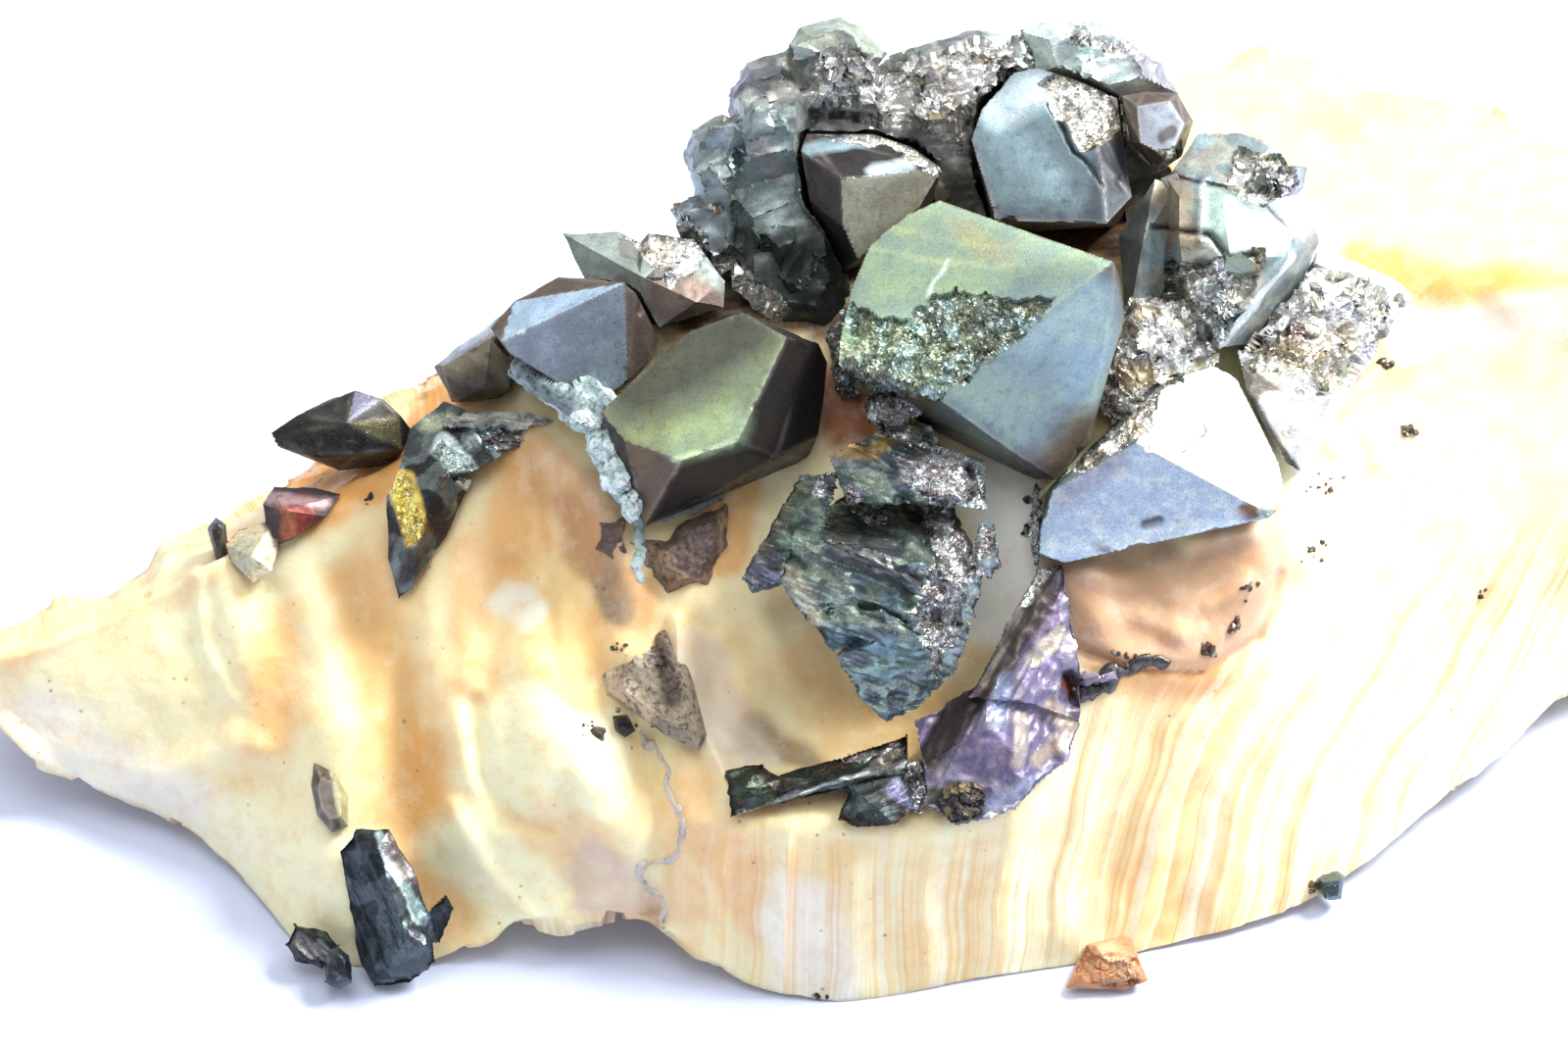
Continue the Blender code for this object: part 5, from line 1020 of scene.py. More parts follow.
# %% Table of crystals
OLIVE, BRASS, MOSS = tone(196, 222, 204), tone(216, 212, 170), tone(124, 136, 110)
STEEL, SLATE, ICE = tone(86, 104, 110), tone(122, 140, 140), tone(214, 232, 240)
UMBER, SOOT, LILAC = tone(98, 86, 76), tone(54, 50, 50), tone(150, 150, 172)
# The near-white is a pale film with a painted reflection of the key light on one crystal's top, and a painted
# highlight on a ridge of another.
TAUPE, PALE_GLARE, BLUE = tone(156, 156, 138), tone(226, 232, 234), tone(194, 214, 234)
SHADE = tone(52, 60, 68)
CRYSTALS = {
    "pyrite_centre_crystal": dict(
        finish="brushed", steps=110, ground=UMBER, depth=0.55, facet=1.0,
        places=[((14.3, 19.5), OLIVE), ((16.9, 7.3), SLATE), ((20.9, 12.0), UMBER), ((8, 6.6), SOOT)],
        zones=[([(3.6, 11.9), (4.4, 14.4), (6.8, 13.4), (11.4, 15.3), (14, 14.8), (17.9, 15.1), (15.6, 12.2),
                 (13, 10.3), (10.1, 8.3), (6.8, 8.6), (4, 9.2)], 0)],
        strokes=[([(5.5, 16.5), (9, 17.6), (13.2, 16.2)], 2.4, 2.4, tone(150, 172, 156), 0.95),
                 ([(11.4, 19.8), (14.6, 17.6)], 0.4, 0.8, BRASS, 0.35),
                 ([(10.9, 17.3), (9.6, 15.0)], 0.06, 0.2, ICE, 0.8),
                 ([(12.2, 19.2), (13.8, 18.0)], 0.1, 1.0, tone(172, 164, 122), 0.4),
                 ([(5.6, 18.2), (12.6, 17.0), (18.6, 17.2)], 0.02, 0.3, tone(222, 230, 190), 0.25),
                 ([(7.0, 19.6), (13.2, 18.2), (16.6, 18.4)], 0.02, 0.35, tone(222, 230, 190), 0.2),
                 ([(14.6, 8.6), (18.4, 13)], 3.2, 2.0, SLATE, 1.0),
                 ([(11.4, 7.6), (17, 3.4)], 0.1, 0.8, SHADE, 0.35),
                 ([(16.2, 13.4), (19.6, 14.8), (20.6, 9.6)], 1.2, 1.8, tone(138, 160, 168), 0.9)]),
    "pyrite_back_crystal": dict(
        finish="satin", steps=80, ground=UMBER, depth=0.5, facet=1.1,
        places=[((17.2, 23.6), STEEL)],
        cracks=[([(17.5, 27.7), (18.5, 26.1), (19.2, 24.6), (20.0, 24.0), (21.1, 22.3)], 0.14, 0.25)],
        zones=[([(17.2, 29.1), (19.5, 30.2), (21.4, 28.5), (22.3, 26.5), (21.5, 24.9), (19.8, 24.9),
                 (18.9, 26.2), (17.9, 26.8)], 0)],
        strokes=[([(21.4, 20.4), (22.2, 24.0)], 1.2, 0.7, SHADE, 0.9),
                 ([(14.0, 20.0), (20, 19.7)], 0.6, 1.2, SHADE, 0.7),
                 ([(15.2, 24.8), (17.4, 23)], 0.5, 1.4, tone(112, 134, 142), 0.7),
                 ([(14.4, 27.4), (16.5, 28.6)], 0.7, 1.2, ICE, 0.5),
                 ([(17.5, 27.7), (18.5, 26.1), (19.2, 24.6), (20.0, 24.0), (21.1, 22.3)], 0.05, 0.1, SOOT, 0.95)]),
    "pyrite_small_back_crystal": dict(
        finish="satin", steps=52, ground=UMBER, depth=0.5, facet=0.8,
        places=[((24.4, 26.5), tone(112, 118, 128))],
        zones=[([(24.7, 23.9), (26.4, 25.2), (27.0, 23.2), (24.7, 22.6)], 0)],
        strokes=[([(25.2, 25.6), (25.7, 25.8)], 0.3, 0.25, SOOT, 0.9)]),
    "pyrite_shelf_crystal": dict(
        finish="satin", steps=60, ground=SOOT, depth=0.35, facet=0.8,
        places=[((6.8, 21), TAUPE), ((2.6, 22.6), tone(84, 76, 72))],
        zones=[([(2.4, 26.2), (9.4, 25.0)], 0.35), ([(8.4, 24.6), (10.6, 23.4)], 0.3)],
        strokes=[([(1.5, 24.8), (5.8, 25.4)], 0.2, 0.4, tone(150, 176, 186), 0.9),
                 ([(5.8, 23.4), (8.4, 23.8)], 0.15, 0.4, ICE, 0.8)]),
    "pyrite_green_crystal": dict(
        finish="brushed", steps=84, ground=SOOT, depth=0.3, facet=0.9,
        places=[((-3.9, 10.6), MOSS), ((0.65, 8.6), SOOT), ((-6.3, 2.4), SOOT), ((-9.6, 4.6), UMBER)],
        strokes=[([(-9.4, 9.4), (-5.6, 11.6), (-2.6, 13.4)], 1.5, 2.2, tone(70, 72, 64), 0.95),
                 ([(-6.6, 5.4), (-3.4, 6.4)], 0.6, 1.2, tone(150, 172, 140), 0.7),
                 # Painted highlight: a thin pale-green glint along the lower front edge.
                 ([(-7.3, 4.3), (-3.5, 5.3)], 0.06, 0.25, tone(196, 220, 178), 0.7)]),
    "pyrite_grey_crystal": dict(
        finish="satin", steps=60, ground=UMBER, depth=0.3, facet=0.8,
        places=[((-13, 11.9), tone(128, 138, 148)), ((-16.6, 14.8), tone(164, 186, 206)),
                ((-9.4, 13.2), tone(92, 78, 72))]),
    "pyrite_lower_right_crystal": dict(
        finish="mottled", steps=90, ground=SLATE, depth=0.5, facet=1.0,
        # The top face is a pale film painted near-white: a painted reflection of the key light.
        places=[((28.6, 6.6), PALE_GLARE), ((22.75, 0.85), BLUE)],
        zones=[([(18.5, 3.1), (19.5, 7.2), (20.2, 12.4), (25.5, 12.6), (28.3, 11.2), (25.4, 8.9), (24.6, 7.2),
                 (24.1, 5.8), (21.4, 4.4)], 0)],
        strokes=[([(27.5, 7.6), (27.9, 6.0), (26.3, 4.6)], 0.1, 0.12, SOOT, 0.9),
                 ([(30.7, 0.7), (30.9, 0.7)], 0.5, 0.2, tone(120, 88, 62), 0.95),
                 ([(32.0, 2.2), (33.0, 1.6)], 0.7, 0.4, tone(226, 160, 80), 0.85),
                 ([(24.0, -0.2), (24.8, 0.0)], 0.25, 0.3, SOOT, 0.85),
                 ([(20.6, -1.5), (21.4, -1.8)], 0.2, 0.25, SOOT, 0.7),
                 ([(18.6, 1.6), (22.2, 4.2)], 0.3, 0.8, LILAC, 0.6),
                 ([(17, -1.8), (26, -0.6), (30, 0.2)], 0.25, 0.6, ICE, 0.6)]),
    "pyrite_ridge_crystal": dict(
        finish="dark", steps=44, ground=tone(72, 70, 66), depth=0.25, facet=0.7,
        places=[((-29.3, 6.7), tone(70, 70, 66)), ((-27.3, 8.1), LILAC), ((-25.9, 6.7), tone(128, 122, 88))],
        strokes=[([(-33.4, 5.8), (-28, 5.3)], 0.3, 0.5, SOOT, 0.8)]),
    "pyrite_foot_chip": dict(
        finish="satin", steps=36, ground=UMBER, depth=0.3, facet=0.7,
        places=[((-30.2, -17.6), tone(118, 108, 100))],
        strokes=[([(-29.6, -16.6), (-29.0, -20)], 0.35, 0.2, tone(172, 168, 128), 0.9)]),
}
for grain, ground in [("left", SOOT), ("low", UMBER), ("right", SOOT), ("crest", SOOT), ("wall", STEEL)]:
    CRYSTALS["pyrite_grain_" + grain] = dict(finish="dark", steps=22, ground=ground, depth=0.15, facet=0.5)
print("crystals with flat faces:", len(CRYSTALS))

# %% Whole crystals
SKINS = {}


def skin_crystal(node, number, finish, steps, ground, depth, facet, places=(), zones=(), strokes=(),
                 cracks=()):
    """Skin one crystal: faces, growth unevenness, chipped edges, broken zones and its film."""
    points, faces, home, to_edge, normal, middle = crystal_skin(node, steps)
    uv, facing = as_seen(points), toward_eye(points, normal)
    broken = broken_share(points, uv, facing, zones, -0.1)
    wear_and_glint = np.exp(-(to_edge / 0.2) ** 2)
    chips = np.clip(soft(points, 1.1, 61 + number, 2) - 0.45, 0, 1)
    rim = 0.04 * wear_and_glint + 0.4 * chips * np.exp(-(to_edge / 0.35) ** 2) + crack_depth(points, uv, cracks) * facing
    swell = 0.05 * soft(points, 4.0, 62 + number, 2) * np.clip(to_edge / 0.6, 0, 1)
    inward = (points - middle) / np.linalg.norm(points - middle, axis=1, keepdims=True)
    points, shade = fracture_relief(points, normal, broken, facet, depth, 70 + number)
    points = points - inward * (rim * (1 - broken))[:, None] + normal * (swell * (1 - broken))[:, None]
    film = seen_faces(home, points, facing, uv, places, ground) * (0.9 + 0.2 * shade * broken)[:, None]
    film = paint(film, points, uv, facing, strokes)
    # The lighter line along edges: rubbed tarnish with a painted edge highlight.
    rubbed_and_glint = wear_and_glint * np.clip(0.35 + 0.6 * soft(points, 2.6, 63, 2), 0, 1) * (1 - broken)
    SKINS[node] = points, normal, broken
    return make_piece(node + "_skin", points, faces, FINISHES[finish], [node],
                      {"film": film, "broken": broken, "facet": shade, "edge": rubbed_and_glint}, sharp=24)


for number, (node, look) in enumerate(CRYSTALS.items()):
    skin_crystal(node, number, **look)

# %% [markdown]
# ## Skins for crystals that grew into each other
# Where several crystals share one body there is no middle from which all of it can be seen, so no
# function of two directions gives its skin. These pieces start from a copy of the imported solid,
# which is turned into small even squares that keep its sharp edges. From there on they are arrays
# again: broken zones sink in flat facets, and folds and dents are added along the normals.

# %% Grown-together skins


def even_squares(node, level):
    """A copy of a node's mesh as even quads, 2 to the power of the level along its longest side:
    the points in mm and the quads."""
    copy = bpy.data.objects.new("copy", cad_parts[node].data.copy())
    merged = bmesh.new()
    merged.from_mesh(copy.data)
    bmesh.ops.remove_doubles(merged, verts=merged.verts, dist=0.001 * MM)
    merged.to_mesh(copy.data)
    merged.free()
    bpy.context.scene.collection.objects.link(copy)
    remesh = copy.modifiers.new("squares", "REMESH")
    remesh.mode, remesh.octree_depth, remesh.scale = "SHARP", level, 0.95
    remesh.use_remove_disconnected = False
    dense = copy.evaluated_get(bpy.context.evaluated_depsgraph_get()).to_mesh()
    points = np.empty(len(dense.vertices) * 3, np.float32)
    dense.vertices.foreach_get("co", points)
    quads = np.empty(len(dense.polygons) * 4, np.int32)
    dense.polygons.foreach_get("vertices", quads)
    old = copy.data
    bpy.data.objects.remove(copy)
    bpy.data.meshes.remove(old)
    return points.reshape(-1, 3).astype(float) / MM, quads.reshape(-1, 4)


def folds(points, uv, lines):
    """Heights of folds: for each line its fade, its height and a sharp side, from -1 to 1."""
    total = np.zeros(len(points))
    moved = uv + 0.25 * np.column_stack([soft(points, 1.6, 57, 2), soft(points, 1.6, 58, 2)])
    for line, fade, height in lines:
        total += height * np.exp(-((distance_to(line, moved) / fade) ** 2))
    return total


def ridges(points, angle, pitch, salt):
    """Crumpled layers from -1 to 1 that run at an angle in the picture: the fold of a soft noise
    that is six times as long as it is wide."""
    turn = math.radians(angle)
    run = RIGHT * math.cos(turn) + UPWARD * math.sin(turn)
    across = UPWARD * math.cos(turn) - RIGHT * math.sin(turn)
    place = np.column_stack([points @ run / 6, points @ across, points @ TOWARD / 2.5])
    return 1 - 2 * np.abs(soft(place, pitch, salt, 2))


def skin_group(node, number, finish, level, ground, depth, facet, behind, zones=(), strokes=(), lines=(),
               rough=0.08, cut=24, ridge=None, swell=0.0):
    """Skin one grown-together body: folds, broken zones, unevenness and its film."""
    points, faces = even_squares(node, level)
    normal = faces_normals(points, faces)
    uv, facing = as_seen(points), toward_eye(points, normal)
    broken = broken_share(points, uv, facing, zones, behind)
    points = points + TOWARD * (folds(points, uv, lines) * facing)[:, None]
    points, shade = fracture_relief(points, normal, broken, facet, depth, 90 + number)
    uneven = rough * (soft(points, 1.5, 91 + number, 3) - 0.6) * (1 - 0.6 * broken) + swell
    if ridge:
        angle, pitch, height = ridge
        uneven += height * (ridges(points, angle, pitch, 93 + number) - 0.8)
    points = points + normal * uneven[:, None]
    tones = np.array(ground)
    pick = (shade * 0.999 * len(tones)).astype(int)
    cloud = np.clip(0.5 + 0.6 * soft(points, 2.6, 92 + number, 2), 0, 0.999)
    pick = np.where(broken > 0.5, pick, (cloud * len(tones)).astype(int))
    film = paint(tones[pick], points, uv, facing, strokes)
    SKINS[node] = points, normal, broken
    return make_piece(node + "_skin", points, faces, FINISHES[finish], [node],
                      {"film": film, "broken": broken, "facet": shade}, sharp=cut)


# %% [markdown]
# Each entry below names the finish, how fine the squares are, the tones of its ground, the depth
# and size of broken facets, how much of the hidden side is broken, the zones, and the strokes.

# %% Table of grown-together bodies
GROUPS = {
    "pyrite_rear_mass": dict(
        finish="glitter", level=7, depth=1.0, facet=1.9, behind=0.45, rough=0.2, ridge=(20, 1.4, 0.14),
        ground=[tone(140, 150, 148), tone(170, 172, 164), tone(116, 120, 120), tone(156, 158, 156)],
        zones=[([(1.5, 30.5), (4.2, 31.8), (7.5, 30.0), (12, 32), (15.4, 32.6), (16.2, 30.6), (15.8, 29.4),
                 (13, 28.6), (11.5, 24.5), (9, 26.2), (4.6, 26.8), (1.6, 28)], 0),
               ([(5.5, 29), (12, 29.5)], 1.8), ([(-3.5, 16.6), (-1, 14)], 1.0),
               ([(-8.2, 20.2), (-6.2, 18.8)], 0.8), ([(19, 32.4), (24, 31.6)], 0.5)],
        strokes=[([(-4, 18.4), (-1.6, 15.4), (2.2, 13.6)], 2.4, 1.6, tone(72, 82, 80), 0.9),
                 ([(0.4, 19.6), (2.8, 15)], 1.6, 1.4, tone(52, 60, 58), 0.9),
                 ([(-1.6, 25.4), (-0.4, 22.0)], 1.6, 1.4, tone(148, 164, 164), 0.9),
                 ([(-1.4, 24.6), (-0.6, 23.4)], 0.5, 0.7, tone(168, 138, 142), 0.35),
                 ([(-5.8, 25.4), (-5.6, 20)], 1.0, 1.6, tone(140, 154, 158), 0.8),
                 ([(0.6, 32.8), (4, 33.4), (6.4, 32)], 0.9, 1.4, tone(176, 186, 168), 0.9),
                 ([(16, 31.4), (22.8, 30.6)], 1.7, 1.4, tone(222, 240, 238), 1.0),
                 ([(24.4, 31.0), (25.6, 28.8)], 0.8, 1.0, tone(160, 160, 168), 0.9),
                 ([(-8.4, 20.6), (-7, 18.6)], 0.8, 1.0, tone(150, 164, 152), 0.8)]),
    "pyrite_right_crystal": dict(
        finish="clear", level=7, depth=0.6, facet=1.3, behind=0.2, rough=0.06,
        ground=[tone(138, 156, 160), tone(154, 156, 148), tone(122, 136, 138)],
        zones=[([(30.2, 24.6), (33.4, 24.4), (34.0, 22.0), (31.4, 20.6), (29.2, 22.4)], 0),
               ([(25.4, 17.2), (30.4, 17.6), (32.2, 18), (29.4, 12.4), (27.4, 10.6), (24.8, 10.6), (24.8, 15)], 0)],
        strokes=[([(25.8, 22), (26.6, 19.2)], 1.0, 0.6, tone(156, 142, 122), 0.9),
                 ([(28.6, 20.8), (29.4, 19.2)], 1.2, 0.8, tone(150, 170, 162), 0.9),
                 ([(33.4, 22.8), (34.2, 19.8)], 0.7, 0.6, tone(190, 192, 214), 0.95),
                 ([(30.6, 23.4), (32.6, 22.6)], 0.8, 0.7, tone(92, 88, 80), 0.85),
                 ([(23.2, 20.6), (22.6, 17), (22.4, 12.8)], 0.9, 0.7, tone(94, 98, 96), 0.95),
                 ([(27.4, 17.0), (30.6, 15.6)], 0.5, 0.3, tone(82, 84, 80), 0.95),
                 ([(26.0, 15.8), (27.6, 12.6)], 0.35, 0.25, tone(70, 78, 78), 0.95),
                 ([(25.0, 23.2), (28.6, 22.4), (31.4, 21.8), (33.6, 19.4)], 0.05, 0.12, SOOT, 0.85),
                 ([(24.6, 19.6), (28.2, 19.2), (29.6, 17.4), (31.4, 17.9)], 0.05, 0.12, SOOT, 0.85),
                 # Painted highlights along the two ridges that the folds below raise.
                 ([(27.8, 22.6), (27.6, 19.2)], 0.05, 0.2, tone(220, 226, 222), 0.8),
                 ([(33.8, 17.6), (28.9, 11.6)], 0.14, 0.15, PALE_GLARE, 0.95)],
        lines=[([(33.6, 17.8), (28.8, 11.8)], 0.35, 0.35), ([(27.8, 22.8), (27.6, 18.8)], 0.3, 0.25),
               ([(25.0, 23.2), (28.6, 22.4), (31.4, 21.8)], 0.18, -0.35),
               ([(24.6, 19.6), (28.2, 19.2), (29.6, 17.4), (31.4, 17.9)], 0.2, -0.45)]),
    "pyrite_right_cluster": dict(
        finish="cluster", level=7, depth=1.1, facet=2.5, behind=0.4, rough=0.08,
        ground=[tone(246, 250, 250), tone(232, 224, 202), tone(216, 216, 210), tone(252, 254, 255)],
        zones=[([(29.2, 13.6), (33, 17.8), (41, 15.2), (41.4, 14), (37.4, 8.6), (35, 8.2), (32.6, 9.8),
                 (29.4, 11)], 0)],
        strokes=[([(30.6, 15.2), (32.6, 12.2), (35.0, 11.4)], 0.9, 0.7, tone(128, 112, 78), 0.85),
                 ([(33.0, 13.9), (34.6, 12.4)], 0.5, 0.3, tone(74, 50, 44), 0.95),
                 ([(38.2, 13.6), (36.8, 10.4)], 0.3, 0.5, tone(120, 116, 100), 0.8),
                 # Painted highlights: the blown-out white patches of the cluster.
                 ([(30.8, 16.6), (34.6, 16.4)], 0.6, 0.6, tone(252, 252, 250), 0.9),
                 ([(38.4, 15.2), (40.6, 13.8), (38.6, 11.2)], 0.6, 0.5, tone(252, 252, 250), 0.9),
                 ([(30.4, 9.6), (32.2, 8.2)], 0.9, 0.2, tone(120, 116, 108), 0.95),
                 ([(32.4, 7.6), (36.2, 7.8), (34.4, 4.6)], 0.9, 0.3, tone(240, 242, 244), 0.95),
                 ([(29.2, 10.2), (31.6, 7.2), (33.8, 3.6)], 0.22, 0.25, tone(62, 56, 52), 0.95),
                 ([(41.4, 14.4), (38.2, 9)], 0.3, 0.3, tone(176, 176, 196), 0.9)]),
    "pyrite_spiked_crystal": dict(
        finish="satin", level=6, depth=0.35, facet=1.0, behind=0.0,
        ground=[tone(136, 146, 140), tone(118, 120, 114)],
        zones=[([(-10.6, 19.2), (-5.2, 19.4), (-5.4, 16.8), (-7.4, 15.6), (-9.1, 17.4)], 0)],
        strokes=[([(-7, 15), (-4.8, 13.2)], 1.6, 0.8, tone(118, 98, 86), 0.9)]),
    "pyrite_left_back_crystal": dict(
        finish="satin", level=6, depth=0.3, facet=0.9, behind=0.0,
        ground=[tone(136, 128, 106), tone(110, 98, 82)],
        strokes=[([(-20.4, 9.4), (-19.4, 8)], 0.8, 0.8, tone(74, 62, 56), 0.8),
                 ([(-22.6, 11.4), (-19.8, 13.2)], 0.4, 0.6, tone(176, 186, 200), 0.8)]),
    "pyrite_nugget": dict(
        finish="dark", level=7, depth=0.45, facet=0.8, behind=0.2, rough=0.1, cut=26, ridge=(-20, 0.6, 0.15),
        ground=[tone(108, 120, 120), tone(128, 140, 130), tone(88, 98, 100), tone(118, 118, 120)],
        zones=[([(10.4, 5.4), (14.2, 3.4), (13.9, -1.8), (12.2, -4.4), (10.4, -10.9), (8.9, -6), (10.1, -2.4),
                 (9.4, 1.2), (7.8, 3.4)], 0), ([(6.4, 6.6), (8.2, 5.6)], 0.6), ([(2.4, 2.6), (6.6, 0.4)], 0.55)],
        strokes=[([(3.6, 5.0), (5.6, 4.6), (8.6, 6.8)], 0.3, 0.4, tone(176, 140, 62), 0.6),
                 ([(1.2, 2.6), (-0.4, -0.8)], 0.4, 0.7, tone(118, 146, 118), 0.6),
                 ([(-2, -1), (0.8, 3.4)], 0.8, 1.0, tone(98, 90, 76), 0.8),
                 ([(0.4, -3.2), (2, -6.4)], 0.3, 0.5, tone(206, 200, 172), 0.8),
                 ([(2.2, -5.0), (5.8, -6.0)], 0.3, 0.8, tone(150, 160, 146), 0.5),
                 ([(3.2, -8.0), (6.8, -8.4)], 0.4, 0.8, tone(96, 122, 140), 0.55),
                 ([(6.8, -9.6), (9.0, -8.4)], 0.5, 1.0, tone(116, 146, 140), 0.5),
                 ([(3.4, -1.4), (8.4, -4.0)], 0.4, 0.8, tone(84, 72, 78), 0.6),
                 ([(10.8, 4.6), (13.6, 2.6), (13.2, -2.4), (11.2, -8.4)], 0.5, 0.8, tone(150, 158, 162), 0.6),
                 ([(6.6, -5.0), (7.3, -5.6)], 0.3, 0.3, tone(150, 178, 190), 0.7),
                 ([(9, -5.2), (9.8, -4.8)], 0.3, 0.3, tone(226, 222, 206), 0.8),
                 ([(-2.6, -4.2), (-1.4, -3.6)], 0.8, 0.6, tone(104, 100, 116), 0.8)],
        lines=[([(0.6, -0.6), (4.6, -1.2), (9, -3.2)], 0.5, 0.55),
               ([(0.4, -2.4), (4.6, -3.2), (8.6, -5.4)], 0.5, -0.45),
               ([(1.2, -3.6), (5, -5), (8.6, -6.6)], 0.45, 0.5), ([(2, -6.6), (5.6, -7.2), (9, -8.6)], 0.5, 0.4),
               ([(2.4, -5.6), (6, -6.4), (9, -7.6)], 0.35, -0.35),
               ([(3.4, -9), (6.2, -9.4), (9.4, -10.2)], 0.45, 0.3),
               ([(7.8, 1.6), (9.4, -0.8), (10, -2.2)], 0.45, -1.1), ([(12.4, 3.4), (12.8, 1.6)], 0.35, -1.2),
               ([(3.4, 3.2), (6.8, 1.4), (8.6, -1)], 0.5, 0.5), ([(6, 5.2), (10, 3.2)], 0.5, 0.4)]),
    "pyrite_gold_crystal": dict(
        finish="golden", level=7, depth=0.45, facet=1.0, behind=0.1,
        ground=[tone(80, 86, 86), tone(104, 112, 112), tone(58, 58, 60)],
        zones=[([(-25.4, 2.6), (-24.6, -0.6)], 0.6), ([(-22.6, 4.8), (-21.0, 3.2)], 0.5),
               ([(-19.8, 6.2), (-18.8, 5)], 0.4)],
        # Fresh broken metal painted near-white: partly its own pale colour, partly painted highlights.
        strokes=[([(-22.6, 5.0), (-20.8, 3.0)], 0.7, 0.3, tone(206, 220, 222), 0.95),
                 ([(-20.0, 6.4), (-18.6, 4.8)], 0.6, 0.3, tone(190, 216, 222), 0.9),
                 ([(-25.4, 2.6), (-24.4, -0.8)], 0.8, 0.3, tone(238, 206, 110), 1.0),
                 ([(-23.8, 6.4), (-22.2, 6.8)], 0.3, 0.5, tone(190, 196, 170), 0.8),
                 ([(-23.6, -1.2), (-24.2, -1.6)], 0.3, 0.3, tone(176, 186, 196), 0.8),
                 ([(-25.2, -3.6), (-22.6, 0.6)], 0.4, 0.5, tone(58, 52, 58), 0.9)]),
    "pyrite_red_crystal": dict(
        finish="oxide", level=6, depth=0.3, facet=0.8, behind=0.1,
        ground=[tone(84, 60, 58), tone(72, 58, 60), tone(66, 60, 62)],
        strokes=[([(-35.6, -1.2), (-34.8, -3.6)], 1.3, 0.4, tone(206, 202, 172), 0.95),
                 ([(-32.0, 1.2), (-31.6, -1.6)], 0.7, 0.4, tone(124, 56, 46), 0.9),
                 ([(-33.2, 1.0), (-32.8, -1.4)], 0.3, 0.4, tone(176, 108, 80), 0.7),
                 ([(-34.2, 1.6), (-30.6, 1.4)], 0.25, 0.4, tone(168, 152, 158), 0.7)]),
    "pyrite_rim_plate": dict(
        finish="mottled", level=7, depth=0.3, facet=0.8, behind=0.1, rough=0.16, ridge=(62, 0.8, 0.12),
        ground=[tone(112, 106, 136), tone(134, 130, 152), tone(98, 88, 112)],
        zones=[([(15.6, -5.0), (17.8, -2.6)], 0.4)],
        strokes=[([(17.2, -4.4), (14.0, -9.8), (11.0, -13.4), (9.6, -15.4)], 0.8, 0.5, tone(54, 46, 44), 0.95),
                 ([(16.8, -3.6), (15.0, -8), (13.8, -10.4)], 0.5, 0.4, tone(96, 92, 88), 0.7),
                 ([(18.9, -10.6), (19.3, -11.3)], 0.25, 0.3, tone(120, 66, 40), 0.95),
                 ([(16.6, -9.0), (18.4, -7.4)], 0.35, 0.35, tone(196, 190, 176), 0.8),
                 ([(17.8, -12.2), (19.2, -13.8), (17.0, -15.6)], 0.3, 0.45, tone(190, 176, 160), 0.75),
                 ([(15.8, -12.8), (15.6, -15.8)], 0.25, 0.35, tone(196, 184, 166), 0.7),
                 ([(14.2, -13.2), (14.6, -10.4)], 0.25, 0.5, tone(160, 176, 206), 0.6),
                 ([(13.4, -19.0), (18.4, -16.8)], 0.35, 0.7, tone(150, 160, 190), 0.7),
                 ([(9.6, -18.6), (12.0, -19.4)], 1.0, 0.4, tone(66, 66, 58), 0.95)],
        lines=[([(19.0, -10.4), (19.4, -11.6)], 0.45, -1.6), ([(13.4, -11.6), (15.4, -9), (16.8, -5.2)], 0.4, 0.5),
               ([(15.6, -12.6), (15.4, -16.8)], 0.5, 0.35), ([(17.4, -12), (17.8, -15.6)], 0.5, -0.35)]),
    "pyrite_rim_blades": dict(
        finish="dark", level=7, depth=0.3, facet=0.9, behind=0.1, rough=0.14, ridge=(20, 0.8, 0.12),
        ground=[tone(52, 58, 54), tone(66, 62, 56), tone(44, 42, 42)], zones=[([(4, -15.4), (7.4, -14.6)], 0.2)],
        strokes=[([(7.4, -17.6), (8.8, -18.8)], 0.4, 0.4, tone(142, 142, 176), 0.8),
                 ([(3.6, -18.0), (6.6, -19.2)], 0.5, 0.6, tone(84, 94, 98), 0.8),
                 ([(-3.0, -19.4), (2.6, -17.4), (8.0, -15.9)], 0.08, 0.16, tone(170, 176, 180), 0.8),
                 ([(-3.6, -16.8), (-1.6, -18.2)], 0.5, 0.8, tone(56, 70, 60), 0.7)]),
    "pyrite_foot_crystal": dict(
        finish="dark", level=7, depth=0.3, facet=0.9, behind=0.0, rough=0.12, ridge=(-64, 1.0, 0.14),
        ground=[tone(58, 66, 70), tone(48, 54, 58), tone(72, 80, 84)],
        zones=[([(-24.6, -27.2), (-23.8, -27.8)], 0.2)],
        # Painted highlight: a bright cyan line along an edge.
        strokes=[([(-27.0, -20.6), (-25.6, -23.2), (-24.2, -26.4)], 0.14, 0.25, tone(206, 236, 236), 0.95),
                 ([(-26.2, -21.2), (-24.6, -23.4)], 0.5, 0.3, tone(130, 120, 120), 0.8),
                 ([(-25.0, -24.2), (-23.9, -26.2)], 0.3, 0.25, tone(150, 176, 184), 0.85)]),
    "pyrite_foot_chain": dict(
        finish="dark", level=6, depth=0.4, facet=0.8, behind=0.3, rough=0.16, ridge=(-40, 0.8, 0.14),
        ground=[tone(60, 66, 72), tone(84, 90, 96), tone(48, 50, 54)],
        strokes=[([(-32.4, -27.6), (-30.6, -28.8)], 0.3, 0.4, tone(140, 136, 136), 0.7)]),
}
print("grown-together bodies:", len(GROUPS))

# %% Grown-together bodies
for number, (node, look) in enumerate(GROUPS.items()):
    skin_group(node, number, **look)

# %% [markdown]
# ## Stony pieces
# Not all of it is metal. A pale teal crust runs down between two crystals, brown and beige lumps
# of gangue sit on the calcite, and a brown glassy chip of calcite stands at the foot of the wall.
# They are dusty and grainy, so their recipe is rough, with pores and grains in relief.

# %% Recipe for stone


